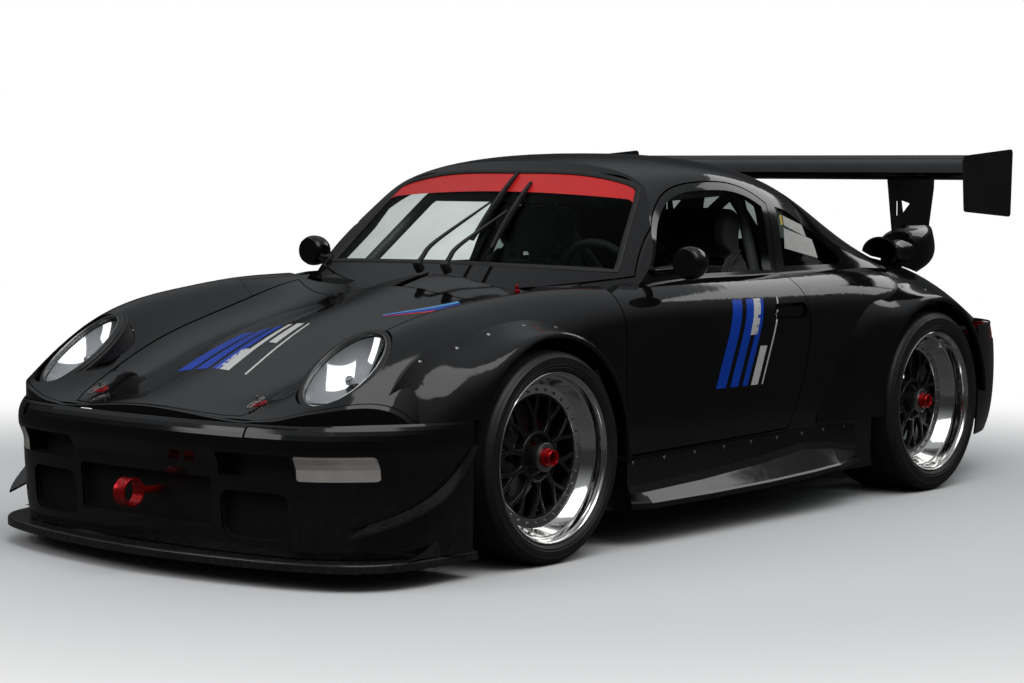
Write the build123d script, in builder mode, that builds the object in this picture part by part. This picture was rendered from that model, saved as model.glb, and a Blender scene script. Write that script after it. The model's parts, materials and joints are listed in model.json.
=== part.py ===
from build123d import *
from math import cos, hypot, radians, sin
import os

# Wide-bodied rear-engined race coupe on its wheels.
# Frame: millimetres, +X forward, +Y to the car's left, +Z up, ground at Z = 0.
# Lengths along the car are first given from the front axle, and moved by AXLE_X to the part's frame.

AXLE_X = 1159.0            # front axle in the part's frame
WHEELBASE = 2272.0
REAR_AXLE = -WHEELBASE

SHUT_GAP = 5.0             # between a moving panel and its neighbours
SEAM_GAP = 2.0             # between fixed panels
SKIN = 8.0                 # fenders, bonnet, engine lid, bumpers
DOOR_WALL = 58.0           # whole door, skin to trim
PILLAR_WALL = 30.0         # roof and pillars
GLASS = 5.0
GLASS_DROP = 4.0           # glass below the outer skin
RUN_CLEAR = 0.05           # shaft in a turning bore

# wheels and tyres
FRONT_TYRE_R = 325.0
REAR_TYRE_R = 337.0
FRONT_TYRE_W = 250.0
REAR_TYRE_W = 295.0
FRONT_TYRE_OUT = 884.0     # outer sidewall from the centre plane
REAR_TYRE_OUT = 902.0
RIM_R = 262.0              # lip radius
STUB_R = 32.0
KINGPIN_Y = 700.0
KINGPIN_R = 12.0

# wheel arches
FRONT_LIP_R = 364.0
REAR_LIP_R = 376.0
FRONT_LIP_Y = 888.0
REAR_LIP_Y = 908.0
FRONT_ARCH_R = 386.0       # cut in the fender behind the flare
REAR_ARCH_R = 392.0
FLARE_WALL = 4.0

# bonnet, lid and door hinges, from the front axle
BONNET_HINGE = (-420.0, 800.0)
LID_HINGE = (-2280.0, 800.0)
DOOR_HINGE = (-452.0, 814.0)
SEAM_Z = 470.0             # top edge of the front bumper

os.makedirs("parts", exist_ok=True)


def across(station):
    """Plane across the car at a station, with local x to the left and local y up."""
    return Plane(origin=(AXLE_X + station, 0, 0), x_dir=(0, 1, 0), z_dir=(1, 0, 0))


def side_plane(y):
    """Plane along the car at a distance from its centre, with local x forward and local y up."""
    return Plane(origin=(AXLE_X, y, 0), x_dir=(1, 0, 0), z_dir=(0, -1, 0))


def level(z):
    """Horizontal plane with its origin over the front axle."""
    return Plane(origin=(AXLE_X, 0, z))


def inset_points(points, distance):
    """Moves each point of a half outline inwards, square to the line through its neighbours."""
    moved = []
    last = len(points) - 1
    for i, (a, b) in enumerate(points):
        ahead = points[min(i + 1, last)]
        behind = points[max(i - 1, 0)]
        run, rise = ahead[0] - behind[0], ahead[1] - behind[1]
        if i == 0:
            run, rise = 1.0, 0.0
        size = hypot(run, rise)
        moved.append((a + rise / size * distance, b - run / size * distance))
    return moved


def with_middle(points, place):
    """Adds a point halfway along one stretch of a half outline, a little outside its chord."""
    (a, b), (c, d) = points[place], points[place + 1]
    return points[:place + 1] + [((a + c) / 2 + 3, (b + d) / 2)] + points[place + 1:]


def mirrored(points):
    """Half outline from the centre outwards, made whole."""
    return [(-a, b) for a, b in reversed(points[1:])] + list(points)


def save(piece, name):
    """Labels a finished piece and writes it."""
    piece.label = name
    export_step(piece, f"parts/{name}.step")


# ---------------------------------------------------------------- body form
# Half sections from the top of the body down: centre, valley beside the bonnet or lid, fender crest,
# shoulder, widest point, lower side, bottom edge.
BODY_STATIONS = {
    960: [(0, 440), (330, 428), (560, 445), (705, 415), (840, 300), (850, 200), (850, 120)],
    720: [(0, 530), (400, 517), (590, 560), (730, 500), (845, 330), (852, 220), (850, 120)],
    450: [(0, 616), (455, 622), (612, 722), (745, 650), (822, 440), (832, 260), (830, 120)],
    100: [(0, 716), (530, 712), (632, 792), (757, 716), (818, 500), (824, 280), (815, 120)],
    -200: [(0, 790), (585, 772), (660, 818), (772, 748), (815, 540), (820, 300), (808, 120)],
    -450: [(0, 848), (620, 812), (690, 824), (783, 764), (812, 560), (816, 300), (802, 120)],
    -850: [(0, 850), (620, 836), (702, 832), (792, 770), (826, 580), (828, 300), (808, 120)],
    -1250: [(0, 850), (620, 838), (704, 834), (800, 772), (838, 590), (838, 300), (812, 120)],
    -1650: [(0, 850), (620, 842), (708, 838), (812, 770), (850, 590), (848, 300), (818, 120)],
    -2050: [(0, 856), (620, 850), (712, 836), (822, 760), (862, 570), (856, 300), (820, 120)],
    -2400: [(0, 868), (560, 852), (690, 806), (806, 706), (850, 530), (846, 300), (800, 150)],
    -2700: [(0, 836), (470, 818), (630, 760), (750, 652), (800, 500), (796, 320), (760, 180)],
    -3000: [(0, 742), (420, 722), (560, 676), (672, 590), (722, 470), (716, 340), (690, 220)],
    -3230: [(0, 650), (380, 632), (500, 600), (600, 540), (650, 450), (646, 350), (620, 240)],
}

# Half sections of the roof: centre, crown, roof side, rail, window top, waist.
ROOF_STATIONS = {
    -250: [(0, 1180), (300, 1164), (490, 1120), (560, 1085), (602, 1040), (704, 826)],
    -900: [(0, 1222), (300, 1208), (495, 1168), (566, 1134), (604, 1092), (706, 826)],
    -1200: [(0, 1254), (300, 1242), (495, 1208), (570, 1176), (606, 1130), (706, 826)],
    -1500: [(0, 1245), (300, 1232), (488, 1190), (566, 1150), (608, 1096), (708, 826)],
    -1850: [(0, 1186), (300, 1170), (470, 1116), (556, 1050), (622, 970), (712, 826)],
    -2200: [(0, 1058), (300, 1038), (446, 984), (558, 912), (650, 866), (720, 800)],
    -2500: [(0, 928), (300, 908), (440, 872), (552, 824), (640, 790), (700, 730)],
    -2760: [(0, 812), (300, 796), (440, 768), (540, 730), (610, 700), (670, 650)],
}


def body_form(inset, extend):
    """Whole lower body, inset from its skin. extend lengthens the front and drops the bottom."""
    stations = list(BODY_STATIONS)
    with BuildPart() as form:
        for i, station in enumerate(stations):
            shift = extend if i == 0 else inset if i == len(stations) - 1 else 0
            half = inset_points(with_middle(BODY_STATIONS[station], 4), inset)
            half[-1] = (half[-1][0], 120 - extend)
            with BuildSketch(across(station + shift)):
                with BuildLine():
                    top = Spline(*mirrored(half))
                    Line(top @ 1, top @ 0)
                make_face()
        loft()
    return form.part


def roof_form(inset, drop):
    """Whole roof with the tail's fastback, inset from its skin and carried down by drop."""
    with BuildPart() as form:
        for station, points in ROOF_STATIONS.items():
            half = inset_points(points, inset)
            foot = (half[-1][0] + 4, half[-1][1] - drop)
            with BuildSketch(across(station)):
                with BuildLine():
                    top = Spline(*mirrored(half))
                    right = Line(top @ 1, foot)
                    bottom = Line(right @ 1, (-foot[0], foot[1]))
                    Line(bottom @ 1, top @ 0)
                make_face()
        loft()
    return form.part


SCREEN_RAKE = 450.0 / 364.0     # run of the windscreen for each unit of rise
SCREEN_FOOT = (-428.0, 835.0)   # centre of its lower edge


def screen_front(z, inset):
    """Bow of the windscreen at a height: centre station and the set-back at 700 mm from the centre."""
    centre = SCREEN_FOOT[0] - (z - SCREEN_FOOT[1]) * SCREEN_RAKE - inset * 1.6
    set_back = 210.0 - (z - SCREEN_FOOT[1]) * 0.255
    return centre, set_back


def screen_form(inset, rear=-3300.0):
    """Everything behind the windscreen's outer surface."""
    with BuildPart() as form:
        for z in (700.0, 1300.0):
            centre, set_back = screen_front(z, inset)
            with BuildSketch(level(z)):
                with BuildLine():
                    bow = ThreePointArc(
                        (centre - set_back * 1.65, -900), (centre, 0), (centre - set_back * 1.65, 900)
                    )
                    left = Line(bow @ 1, (rear, 900))
                    back = Line(left @ 1, (rear, -900))
                    Line(back @ 1, bow @ 0)
                make_face()
        loft(ruled=True)
    return form.part


# Front bumper from its lower edge to the seam: height and nose station.
BUMPER_LEVELS = [
    (86, 846), (120, 851), (155, 857), (200, 861), (250, 865), (300, 868), (342, 871), (358, 877), (374, 885),
    (390, 889), (408, 890), (426, 888), (440, 883), (452, 876), (462, 867), (SEAM_Z - 1, 858),
]


def plan_outline(nose, inset=0.0):
    """Half outline of the front bumper in plan, from the nose to behind the wheel arch's front edge."""
    return [
        (nose - inset, 0),
        (nose - 10 - inset, 300 - inset * 0.2),
        (nose - 36 - inset, 500 - inset * 0.4),
        (nose - 72 - inset * 0.9, 620 - inset * 0.6),
        (nose - 215 - inset * 0.6, 772 - inset * 0.9),
        (nose - 350, 845 - inset),
        (nose - 500, 880 - inset),
        (nose - 640, 888 - inset),
    ]


def plan_wire(points, back):
    """Closed line through a half outline, its mirror image and a straight back edge."""
    whole = [(a, -b) for a, b in reversed(points[1:])] + points
    front = Spline(*whole)
    left = Line(front @ 1, (back, whole[-1][1]))
    rear = Line(left @ 1, (back, whole[0][1]))
    Line(rear @ 1, front @ 0)


def bumper_form(inset, extend):
    """Front bumper as levels from its lower edge to the seam under the bonnet."""
    with BuildPart() as form:
        for z, nose in BUMPER_LEVELS:
            z += -extend if z < 100 else extend if z > 460 else 0
            with BuildSketch(level(z)):
                with BuildLine():
                    plan_wire(plan_outline(nose, inset), nose - 660)
                make_face()
        loft(ruled=True)
    return form.part


def plan_column(inset, low, high):
    """Upright column inside the bumper's top edge in plan."""
    with BuildPart() as form:
        with BuildSketch(level(low)):
            with BuildLine():
                plan_wire(plan_outline(BUMPER_LEVELS[-1][1], inset), -3300)
            make_face()
        extrude(amount=high - low)
    return form.part


def tail_form(inset, extend):
    """Rear bumper as levels, narrow towards the ground."""
    with BuildPart() as form:
        levels = ((170 - extend, -3225), (300, -3290), (430, -3300), (560, -3280), (600 + extend, -3262))
        for z, tail in levels:
            half = [
                (tail + inset, 0),
                (tail + 24 + inset, 330 - inset * 0.3),
                (tail + 90 + inset, 560 - inset * 0.5),
                (tail + 210 + inset * 0.6, 700 - inset * 0.8),
                (tail + 380, 785 - inset),
                (tail + 560, 832 - inset),
                (tail + 760, 850 - inset),
            ]
            with BuildSketch(level(z)):
                with BuildLine():
                    plan_wire(half, tail + 800)
                make_face()
        loft()
    return form.part


BODY_OUTER = body_form(0, 0)
BODY_SKIN_INNER = body_form(SKIN, 40)
BODY_WALL_INNER = body_form(DOOR_WALL, 60)
ROOF_OUTER = roof_form(0, 60)
BUMPER_OUTER = bumper_form(0, 0)
BUMPER_INNER = bumper_form(SKIN, 30)
TAIL_OUTER = tail_form(0, 0)
TAIL_INNER = tail_form(SKIN, 30)


# ---------------------------------------------------------------- outlines that split the body
def grown(points, amount):
    """Moves every point of a closed outline outwards, mitred at its corners. Outline runs anticlockwise."""
    moved = []
    count = len(points)
    for i in range(count):
        behind, here, ahead = points[i - 1], points[i], points[(i + 1) % count]
        run_in = (here[0] - behind[0], here[1] - behind[1])
        run_out = (ahead[0] - here[0], ahead[1] - here[1])
        size_in, size_out = hypot(*run_in), hypot(*run_out)
        normal_in = (run_in[1] / size_in, -run_in[0] / size_in)
        normal_out = (run_out[1] / size_out, -run_out[0] / size_out)
        sum_a, sum_b = normal_in[0] + normal_out[0], normal_in[1] + normal_out[1]
        scale = amount * 2 / (sum_a**2 + sum_b**2)
        moved.append((here[0] + sum_a * scale, here[1] + sum_b * scale))
    return moved


def outline(points, corners):
    """Closed line through points, smooth between the corners, which are given by their places."""
    count = len(points)
    for first, last in zip(corners, corners[1:] + [corners[0] + count]):
        run = [points[i % count] for i in range(first, last + 1)]
        if len(run) == 2:
            Line(*run)
        else:
            Spline(*run)


# Door with its window frame, from the side, anticlockwise with x forward: from the front lower corner.
DOOR_OUTLINE = [
    (-448, 288), (-448, 802), (-640, 846), (-790, 1010), (-955, 1120), (-1150, 1152), (-1390, 1136),
    (-1532, 1076), (-1472, 838), (-1483, 740), (-1472, 600), (-1430, 470), (-1382, 375), (-1340, 308),
]
DOOR_CORNERS = [0, 1, 2, 7, 8, 13]
# Bonnet in plan, x forward and y to the left.
BONNET_OUTLINE = [
    (844, 0), (832, 200), (806, 356), (760, 380), (600, 415), (300, 478), (0, 538), (-250, 582), (-404, 600),
    (-300, 330), (-258, 0), (-300, -330), (-404, -600), (-250, -582), (0, -538), (300, -478), (600, -415),
    (760, -380), (806, -356), (836, -200),
]
BONNET_CORNERS = [2, 3, 8, 12, 17, 18]
# Engine lid in plan.
LID_OUTLINE = [
    (-2628, 0), (-2610, 260), (-2562, 500), (-2800, 505), (-3000, 480), (-3120, 430), (-3155, 200),
    (-3165, 0), (-3155, -200), (-3120, -430), (-3000, -480), (-2800, -505), (-2562, -500), (-2610, -260),
]
LID_CORNERS = [2, 5, 9, 12]


def door_prism(grow):
    """Door outline carried through the whole width of the car."""
    with BuildPart() as prism:
        with BuildSketch(side_plane(0)):
            with BuildLine():
                outline(grown(DOOR_OUTLINE, grow), DOOR_CORNERS)
            make_face()
        extrude(amount=1000, both=True)
    return prism.part


def plan_prism(points, corners, grow, low):
    """Plan outline carried upwards from a height."""
    with BuildPart() as prism:
        with BuildSketch(level(low)):
            with BuildLine():
                outline(grown(points, grow), corners)
            make_face()
        extrude(amount=700)
    return prism.part


def bonnet_prism(grow):
    """Everything over the bonnet's outline."""
    return plan_prism(BONNET_OUTLINE, BONNET_CORNERS, grow, 300)


def lid_prism(grow):
    """Everything over the engine lid's outline."""
    return plan_prism(LID_OUTLINE, LID_CORNERS, grow, 500)


def arch_cut(station, centre_z, radius):
    """Cylinder across the car that opens both wheel arches."""
    with BuildPart() as cut:
        with BuildSketch(side_plane(0)):
            with Locations((station, centre_z)):
                Circle(radius)
        extrude(amount=1100, both=True)
    return cut.part


def box_between(x0, x1, y0, y1, z0, z1):
    """Box between stations, distances from the centre and heights."""
    with BuildPart() as block:
        with BuildSketch(level(z0)):
            with Locations(((x0 + x1) / 2, (y0 + y1) / 2)):
                Rectangle(abs(x1 - x0), abs(y1 - y0))
        extrude(amount=z1 - z0)
    return block.part


FRONT_ARCH = arch_cut(0, FRONT_TYRE_R, FRONT_ARCH_R)
REAR_ARCH = arch_cut(REAR_AXLE, REAR_TYRE_R, REAR_ARCH_R)
PLAN_FRONT = plan_column(SKIN + SEAM_GAP, 60, 960)      # behind the bumper's top edge

LAMP_CENTRE = (598.0, 577.0, 604.0)
LAMP_LEAN = 36.0            # glass leans back from upright by 90 less this
LAMP_LONG = 188.0           # half length up the slope
LAMP_WIDE = 122.0           # half width


def lamp_plane(side, lift=0.0):
    """Plane of a headlamp's ring, local x to the left and local y up the slope."""
    normal = (sin(radians(LAMP_LEAN)), side * 0.10, cos(radians(LAMP_LEAN)))
    up = (-cos(radians(LAMP_LEAN)), 0, sin(radians(LAMP_LEAN)))
    origin = (
        AXLE_X + LAMP_CENTRE[0] + normal[0] * lift,
        side * LAMP_CENTRE[1] + normal[1] * lift,
        LAMP_CENTRE[2] + normal[2] * lift,
    )
    left = Vector(*up).cross(Vector(*normal))
    return Plane(origin=origin, x_dir=left, z_dir=normal)


def lamp_core(side, long, wide, low, high):
    """Oval cylinder square to a headlamp's plane."""
    with BuildPart() as core:
        with BuildSketch(lamp_plane(side, low)):
            Ellipse(wide, long)
        extrude(amount=high - low)
    return core.part


def skin_panel(inner):
    """Body skin, open below, to a given inner form."""
    with BuildPart() as skin:
        add(BODY_OUTER)
        add(inner, mode=Mode.SUBTRACT)
    return skin.part


THIN_SKIN = skin_panel(BODY_SKIN_INNER)
WALL_SKIN = skin_panel(BODY_WALL_INNER)


# ---------------------------------------------------------------- window outlines
DOOR_WINDOW = [
    (-690, 846), (-812, 996), (-962, 1098), (-1152, 1126), (-1384, 1110), (-1492, 1068), (-1448, 846),
]
DOOR_WINDOW_CORNERS = [0, 5, 6]
QUARTER_WINDOW = [
    (-1535, 858), (-1594, 1066), (-1690, 1044), (-1800, 982), (-1900, 906), (-1928, 872), (-1880, 856),
]
QUARTER_CORNERS = [0, 1, 6]
SCREEN_WINDOW = [
    (640, 862), (560, 1090), (520, 1142), (300, 1182), (0, 1190), (-300, 1182), (-520, 1142), (-560, 1090),
    (-640, 862), (-400, 870), (0, 874), (400, 870),
]
SCREEN_CORNERS = [0, 1, 7, 8]
REAR_WINDOW = [
    (-1790, 0), (-1800, 260), (-1850, 400), (-2400, 400), (-2480, 330), (-2500, 0), (-2480, -330),
    (-2400, -400), (-1850, -400), (-1800, -260),
]
REAR_CORNERS = [2, 3, 7, 8]


def side_prism(points, corners, grow):
    """Side outline carried through the whole width."""
    with BuildPart() as prism:
        with BuildSketch(side_plane(0)):
            with BuildLine():
                outline(grown(points, grow), corners)
            make_face()
        extrude(amount=1000, both=True)
    return prism.part


def screen_prism(grow):
    """Windscreen outline from the front, carried along the car."""
    with BuildPart() as prism:
        with BuildSketch(across(-1060)):
            with BuildLine():
                outline(grown(SCREEN_WINDOW, grow), SCREEN_CORNERS)
            make_face()
        extrude(amount=860)
    return prism.part


def rear_prism(grow):
    return plan_prism(REAR_WINDOW, REAR_CORNERS, grow, 780)


def roof_layer(depth):
    """Closed roof and screen form at a depth below the skin."""
    with BuildPart() as layer:
        add(ROOF_OUTER if depth == 0 else roof_form(depth, 60 + depth * 2))
        add(screen_form(depth), mode=Mode.INTERSECT)
    return layer.part


ROOF_SKIN = roof_layer(0)
ROOF_CAVITY = roof_layer(PILLAR_WALL)
GLASS_OUT = roof_layer(GLASS_DROP)
GLASS_IN = roof_layer(GLASS_DROP + GLASS)


def make_glass(prism, low, name):
    """Pane between the two glass layers inside a window's prism."""
    with BuildPart() as pane:
        add(GLASS_OUT)
        add(GLASS_IN, mode=Mode.SUBTRACT)
        add(box_between(-3300, 0, -1000, 1000, low, 1400), mode=Mode.INTERSECT)
        add(prism, mode=Mode.INTERSECT)
    save(pane.part, name)


# ---------------------------------------------------------------- fixed body
def make_front_fenders():
    with BuildPart() as front_fenders:
        add(THIN_SKIN)
        add(box_between(-443, 900, -1000, 1000, 100, 900), mode=Mode.INTERSECT)
        add(PLAN_FRONT, mode=Mode.INTERSECT)
        add(bonnet_prism(SHUT_GAP), mode=Mode.SUBTRACT)
        add(FRONT_ARCH, mode=Mode.SUBTRACT)
        add(box_between(200, 1000, -1000, 1000, 0, SEAM_Z + SEAM_GAP), mode=Mode.SUBTRACT)
        add(box_between(-600, -150, -640, 640, 300, 1000), mode=Mode.SUBTRACT)
        for side in (1, -1):
            add(lamp_core(side, LAMP_LONG, LAMP_WIDE, -120, 160), mode=Mode.SUBTRACT)
    save(front_fenders.part, "front_fenders")


def make_body_shell():
    cabin = box_between(-470, -2330, -640, 640, 700, 1000)
    with BuildPart() as quarters:
        add(WALL_SKIN)
        add(box_between(-3240, -1250, -1000, 1000, 100, 900), mode=Mode.INTERSECT)
        add(cabin, mode=Mode.SUBTRACT)
        add(ROOF_CAVITY, mode=Mode.SUBTRACT)
        add(lid_prism(SHUT_GAP), mode=Mode.SUBTRACT)
        add(REAR_ARCH, mode=Mode.SUBTRACT)
        add(box_between(-3400, -2720, -1000, 1000, 0, 602), mode=Mode.SUBTRACT)
    with BuildPart() as sills:
        add(WALL_SKIN)
        add(box_between(-1260, -396, -1000, 1000, 100, 420), mode=Mode.INTERSECT)
    with BuildPart() as cowl:
        add(THIN_SKIN)
        add(box_between(-640, -150 - SEAM_GAP, SEAM_GAP - 640, 640 - SEAM_GAP, 700, 900),
            mode=Mode.INTERSECT)
        with BuildSketch(level(700)):
            with Locations((-302, 0)):
                Trapezoid(330, 40, 70, rotation=180)
        extrude(amount=300, mode=Mode.SUBTRACT)
        add(bonnet_prism(SHUT_GAP), mode=Mode.SUBTRACT)
        add(screen_form(PILLAR_WALL), mode=Mode.SUBTRACT)
    with BuildPart() as body_shell:
        add(ROOF_SKIN)
        add(ROOF_CAVITY, mode=Mode.SUBTRACT)
        add(box_between(-2700, -300, -1000, 1000, 760, 1400), mode=Mode.INTERSECT)
        add(lid_prism(SHUT_GAP), mode=Mode.SUBTRACT)
        add(screen_prism(0), mode=Mode.SUBTRACT)
        add(rear_prism(0), mode=Mode.SUBTRACT)
        add(side_prism(QUARTER_WINDOW, QUARTER_CORNERS, 0), mode=Mode.SUBTRACT)
        add(quarters.part)
        add(cowl.part)
        add(sills.part)
        add(door_prism(SHUT_GAP), mode=Mode.SUBTRACT)
        add(box_between(-445, 0, -1000, -642, 100, 838), mode=Mode.SUBTRACT)
        add(box_between(-445, 0, 642, 1000, 100, 838), mode=Mode.SUBTRACT)
    save(body_shell.part, "body_shell")
    return body_shell.part


HANDLE = (-1376.0, 711.0)   # centre of the door handle's recess


def make_door(side, name):
    reach = (560, 1000) if side > 0 else (-1000, -560)
    walls = (690, 1000) if side > 0 else (-1000, -690)
    with BuildPart() as lower:
        add(WALL_SKIN)
        add(box_between(-1600, -400, *walls, 250, 900), mode=Mode.INTERSECT)
    with BuildPart() as door:
        add(ROOF_SKIN)
        add(ROOF_CAVITY, mode=Mode.SUBTRACT)
        add(box_between(-1600, -500, *reach, 800, 1300), mode=Mode.INTERSECT)
        add(lower.part)
        add(door_prism(0), mode=Mode.INTERSECT)
        add(side_prism(DOOR_WINDOW, DOOR_WINDOW_CORNERS, 0), mode=Mode.SUBTRACT)
        with BuildSketch(side_plane(side * 800)):
            with Locations(HANDLE):
                RectangleRounded(202, 54, 24)
        extrude(amount=-side * 120, mode=Mode.SUBTRACT)
        with BuildSketch(side_plane(side * 790)):
            with Locations((HANDLE[0] + 16, HANDLE[1])):
                RectangleRounded(190, 30, 10)
        extrude(amount=-side * 36)
    save(door.part, name)


# Openings of the front bumper from the front: centre across, centre height, width, height, corner radius.
MOUTHS = [
    (0, 228, 570, 146, 18), (436, 200, 238, 138, 34), (-436, 200, 238, 138, 34),
    (447, 344, 262, 72, 8), (-447, 344, 262, 72, 8),
]
LAMP_SLOT = (676, 344, 186, 74)     # lamp beside the upper opening: centre across, height, width, height


def mouth_prism(grow):
    """Every opening of the bumper carried back from its nose."""
    with BuildPart() as prism:
        with BuildSketch(across(1000)):
            for y, z, wide, high, corner in MOUTHS:
                with Locations((y, z)):
                    RectangleRounded(wide + 2 * grow, high + 2 * grow, corner + grow)
        extrude(amount=-460)
    return prism.part


def slot_prism(clear):
    """The two lamp slots, carried back from the nose."""
    y, z, wide, high = LAMP_SLOT
    with BuildPart() as prism:
        with BuildSketch(across(1000)):
            with Locations((y, z), (-y, z)):
                RectangleRounded(wide - 2 * clear, high - 2 * clear, 10 - clear)
        extrude(amount=-460)
    return prism.part


def make_front_bumper():
    with BuildPart() as vents:
        with BuildSketch(across(1000)):
            with Locations((507, 437), (-507, 437)):
                RectangleRounded(172, 40, 6)
        extrude(amount=-300)
        add(bumper_form(5, 5), mode=Mode.SUBTRACT)
    with BuildPart() as crown:
        add(plan_column(0, SEAM_Z - 6, 640))
        add(plan_column(SKIN, SEAM_Z - 6, 640), mode=Mode.SUBTRACT)
        add(BODY_OUTER, mode=Mode.INTERSECT)
        add(box_between(392, 1000, -1000, 1000, SEAM_Z - 6, 640), mode=Mode.INTERSECT)
    with BuildPart() as front_bumper:
        add(BUMPER_OUTER)
        add(BUMPER_INNER, mode=Mode.SUBTRACT)
        add(box_between(382, 1000, -1000, 1000, 80, SEAM_Z - 1), mode=Mode.INTERSECT)
        add(crown.part)
        add(mouth_prism(0), mode=Mode.SUBTRACT)
        add(slot_prism(0), mode=Mode.SUBTRACT)
        add(vents.part, mode=Mode.SUBTRACT)
    save(front_bumper.part, "front_bumper")


def make_indicator_lamps():
    with BuildPart() as indicator_lamps:
        add(bumper_form(1, 0))
        add(bumper_form(34, 30), mode=Mode.SUBTRACT)
        add(slot_prism(1), mode=Mode.INTERSECT)
    save(indicator_lamps.part, "indicator_lamps")


def make_front_splitter():
    half = [(925, 0), (912, 220), (882, 430), (838, 610), (790, 720), (705, 805), (620, 838), (400, 850)]
    with BuildPart() as front_splitter:
        with BuildSketch(level(56)):
            with BuildLine():
                plan_wire(half, 330)
            make_face()
        extrude(amount=26)
        fillet(front_splitter.edges().group_by(Axis.Z)[-1].sort_by(Axis.X)[-1], 8)
        for side in (1, -1):
            with BuildSketch(side_plane(side * 846)):
                with BuildLine():
                    back = Line((372, 80), (455, 225))
                    top = Spline(back @ 1, (475, 160), (530, 116), (620, 88))
                    Line(top @ 1, back @ 0)
                make_face()
            extrude(amount=side * 7)
        add(BUMPER_OUTER, mode=Mode.SUBTRACT)
    save(front_splitter.part, "front_splitter")


def make_canards():
    with BuildPart() as canards:
        for side in (1, -1):
            with BuildSketch(side_plane(side * 895)):
                with BuildLine():
                    upper = Spline((384, 400), (467, 306), (553, 243), (680, 186), (790, 150))
                    front = Line(upper @ 1, (788, 144))
                    lower = Spline(front @ 1, (678, 180), (550, 237), (462, 300), (378, 397))
                    Line(lower @ 1, upper @ 0)
                make_face()
            extrude(amount=side * 150)
        add(bumper_form(-52, 60), mode=Mode.INTERSECT)
        add(BUMPER_OUTER, mode=Mode.SUBTRACT)
    save(canards.part, "canards")


def flare_band(axle, centre_z, lip_r, lip_y, ribs):
    """Flare on the left: ribs round the wheel, each from the body out to the lip and its return."""
    with BuildPart() as band:
        for angle, reach, body_y in ribs:
            turn = radians(angle)
            plane = Plane(
                origin=(AXLE_X + axle, 0, centre_z),
                x_dir=(cos(turn), 0, sin(turn)),
                z_dir=(-sin(turn), 0, cos(turn)),
            )
            rise = (lip_y - 4 - body_y) / (reach - lip_r - 8)
            inner_y = body_y - FLARE_WALL - 8
            with BuildSketch(plane):
                with BuildLine():
                    outside = Spline(
                        (reach, body_y),
                        (reach * 0.45 + lip_r * 0.55, body_y + rise * (reach - lip_r) * 0.66),
                        (lip_r + 8, lip_y - 4),
                        tangents=((-1, rise * 0.7), (-1, 0.25)),
                    )
                    lip = Polyline(
                        outside @ 1, (lip_r, lip_y - 10), (lip_r, lip_y - 30),
                        (lip_r + FLARE_WALL, lip_y - 30), (lip_r + FLARE_WALL + 4, lip_y - 14),
                    )
                    Polyline(lip @ 1, (reach * 0.45 + lip_r * 0.55, inner_y + rise * (reach - lip_r) * 0.58),
                             (reach, inner_y), outside @ 0)
                make_face()
        loft()
    return band.part


FRONT_RIBS = [
    (6, 720, 760), (14, 696, 752), (24, 632, 756), (34, 580, 752), (47, 486, 762), (64, 436, 768),
    (86, 414, 768), (106, 410, 776), (128, 424, 790), (148, 430, 800), (166, 430, 812), (186, 427, 816),
]
REAR_RIBS = [
    (-6, 758, 842), (3, 742, 846), (12, 694, 846), (23, 680, 840), (34, 700, 812), (44, 640, 800), (56, 520, 804),
    (76, 455, 796), (98, 428, 792), (120, 428, 786), (142, 450, 786), (160, 462, 798), (178, 470, 806),
]


def make_flares(name, axle, centre_z, lip_r, lip_y, ribs, low):
    with BuildPart() as flares:
        add(flare_band(axle, centre_z, lip_r, lip_y, ribs))
        add(box_between(axle - 900, axle + 900, 0, 1000, low, 1000), mode=Mode.INTERSECT)
        add(BODY_OUTER, mode=Mode.SUBTRACT)
        add(BUMPER_OUTER if axle == 0 else TAIL_OUTER, mode=Mode.SUBTRACT)
        mirror(about=Plane.XZ)
    save(flares.part, name)


# Side skirt sections: station, top, crease above the ledge, ledge's outer edge, its height and underside.
SKIRT_SECTIONS = [
    (-398, 278, 176, 872, 150, 122), (-480, 280, 172, 893, 146, 118), (-800, 285, 182, 901, 146, 118),
    (-1150, 291, 202, 904, 150, 122), (-1420, 296, 226, 905, 158, 130), (-1600, 298, 214, 902, 166, 140),
    (-1715, 298, 196, 880, 176, 146), (-1775, 298, 190, 872, 176, 148),
]


def make_side_skirts():
    with BuildPart() as side_skirts:
        for station, top, crease, edge, lip, under in SKIRT_SECTIONS:
            with BuildSketch(across(station)):
                with BuildLine():
                    Polyline(
                        (806, top), (848, top), (850, top - 8), (852, crease + 24), (862, crease),
                        (edge - 6, lip), (edge, lip - 6), (edge - 2, under + 4), (edge - 10, under),
                        (806, under - 2), close=True,
                    )
                make_face()
        loft(ruled=True)
        add(BODY_OUTER, mode=Mode.SUBTRACT)
        mirror(about=Plane.XZ)
    save(side_skirts.part, "side_skirts")


def make_rear_bumper():
    with BuildPart() as rear_bumper:
        add(TAIL_OUTER)
        add(TAIL_INNER, mode=Mode.SUBTRACT)
        add(box_between(-3400, -2722, -1000, 1000, 168, 598), mode=Mode.INTERSECT)
        add(REAR_ARCH, mode=Mode.SUBTRACT)
        with BuildPart(mode=Mode.PRIVATE) as shelf:
            add(TAIL_OUTER)
            add(box_between(-3400, -3100, -1000, 1000, 590, 598), mode=Mode.INTERSECT)
        add(shelf.part)
        with BuildSketch(across(-3400)):
            with Locations((420, 205), (-420, 205)):
                Circle(52)
        extrude(amount=300, mode=Mode.SUBTRACT)
        for near, far in ((238, 802), (-802, -238)):
            add(box_between(-3400, -2900, near, far, 528, 590), mode=Mode.SUBTRACT)
        with BuildSketch(across(-3400)):
            with Locations((0, 300)):
                RectangleRounded(520, 96, 14)
        extrude(amount=300, mode=Mode.SUBTRACT)
    save(rear_bumper.part, "rear_bumper")


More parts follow.
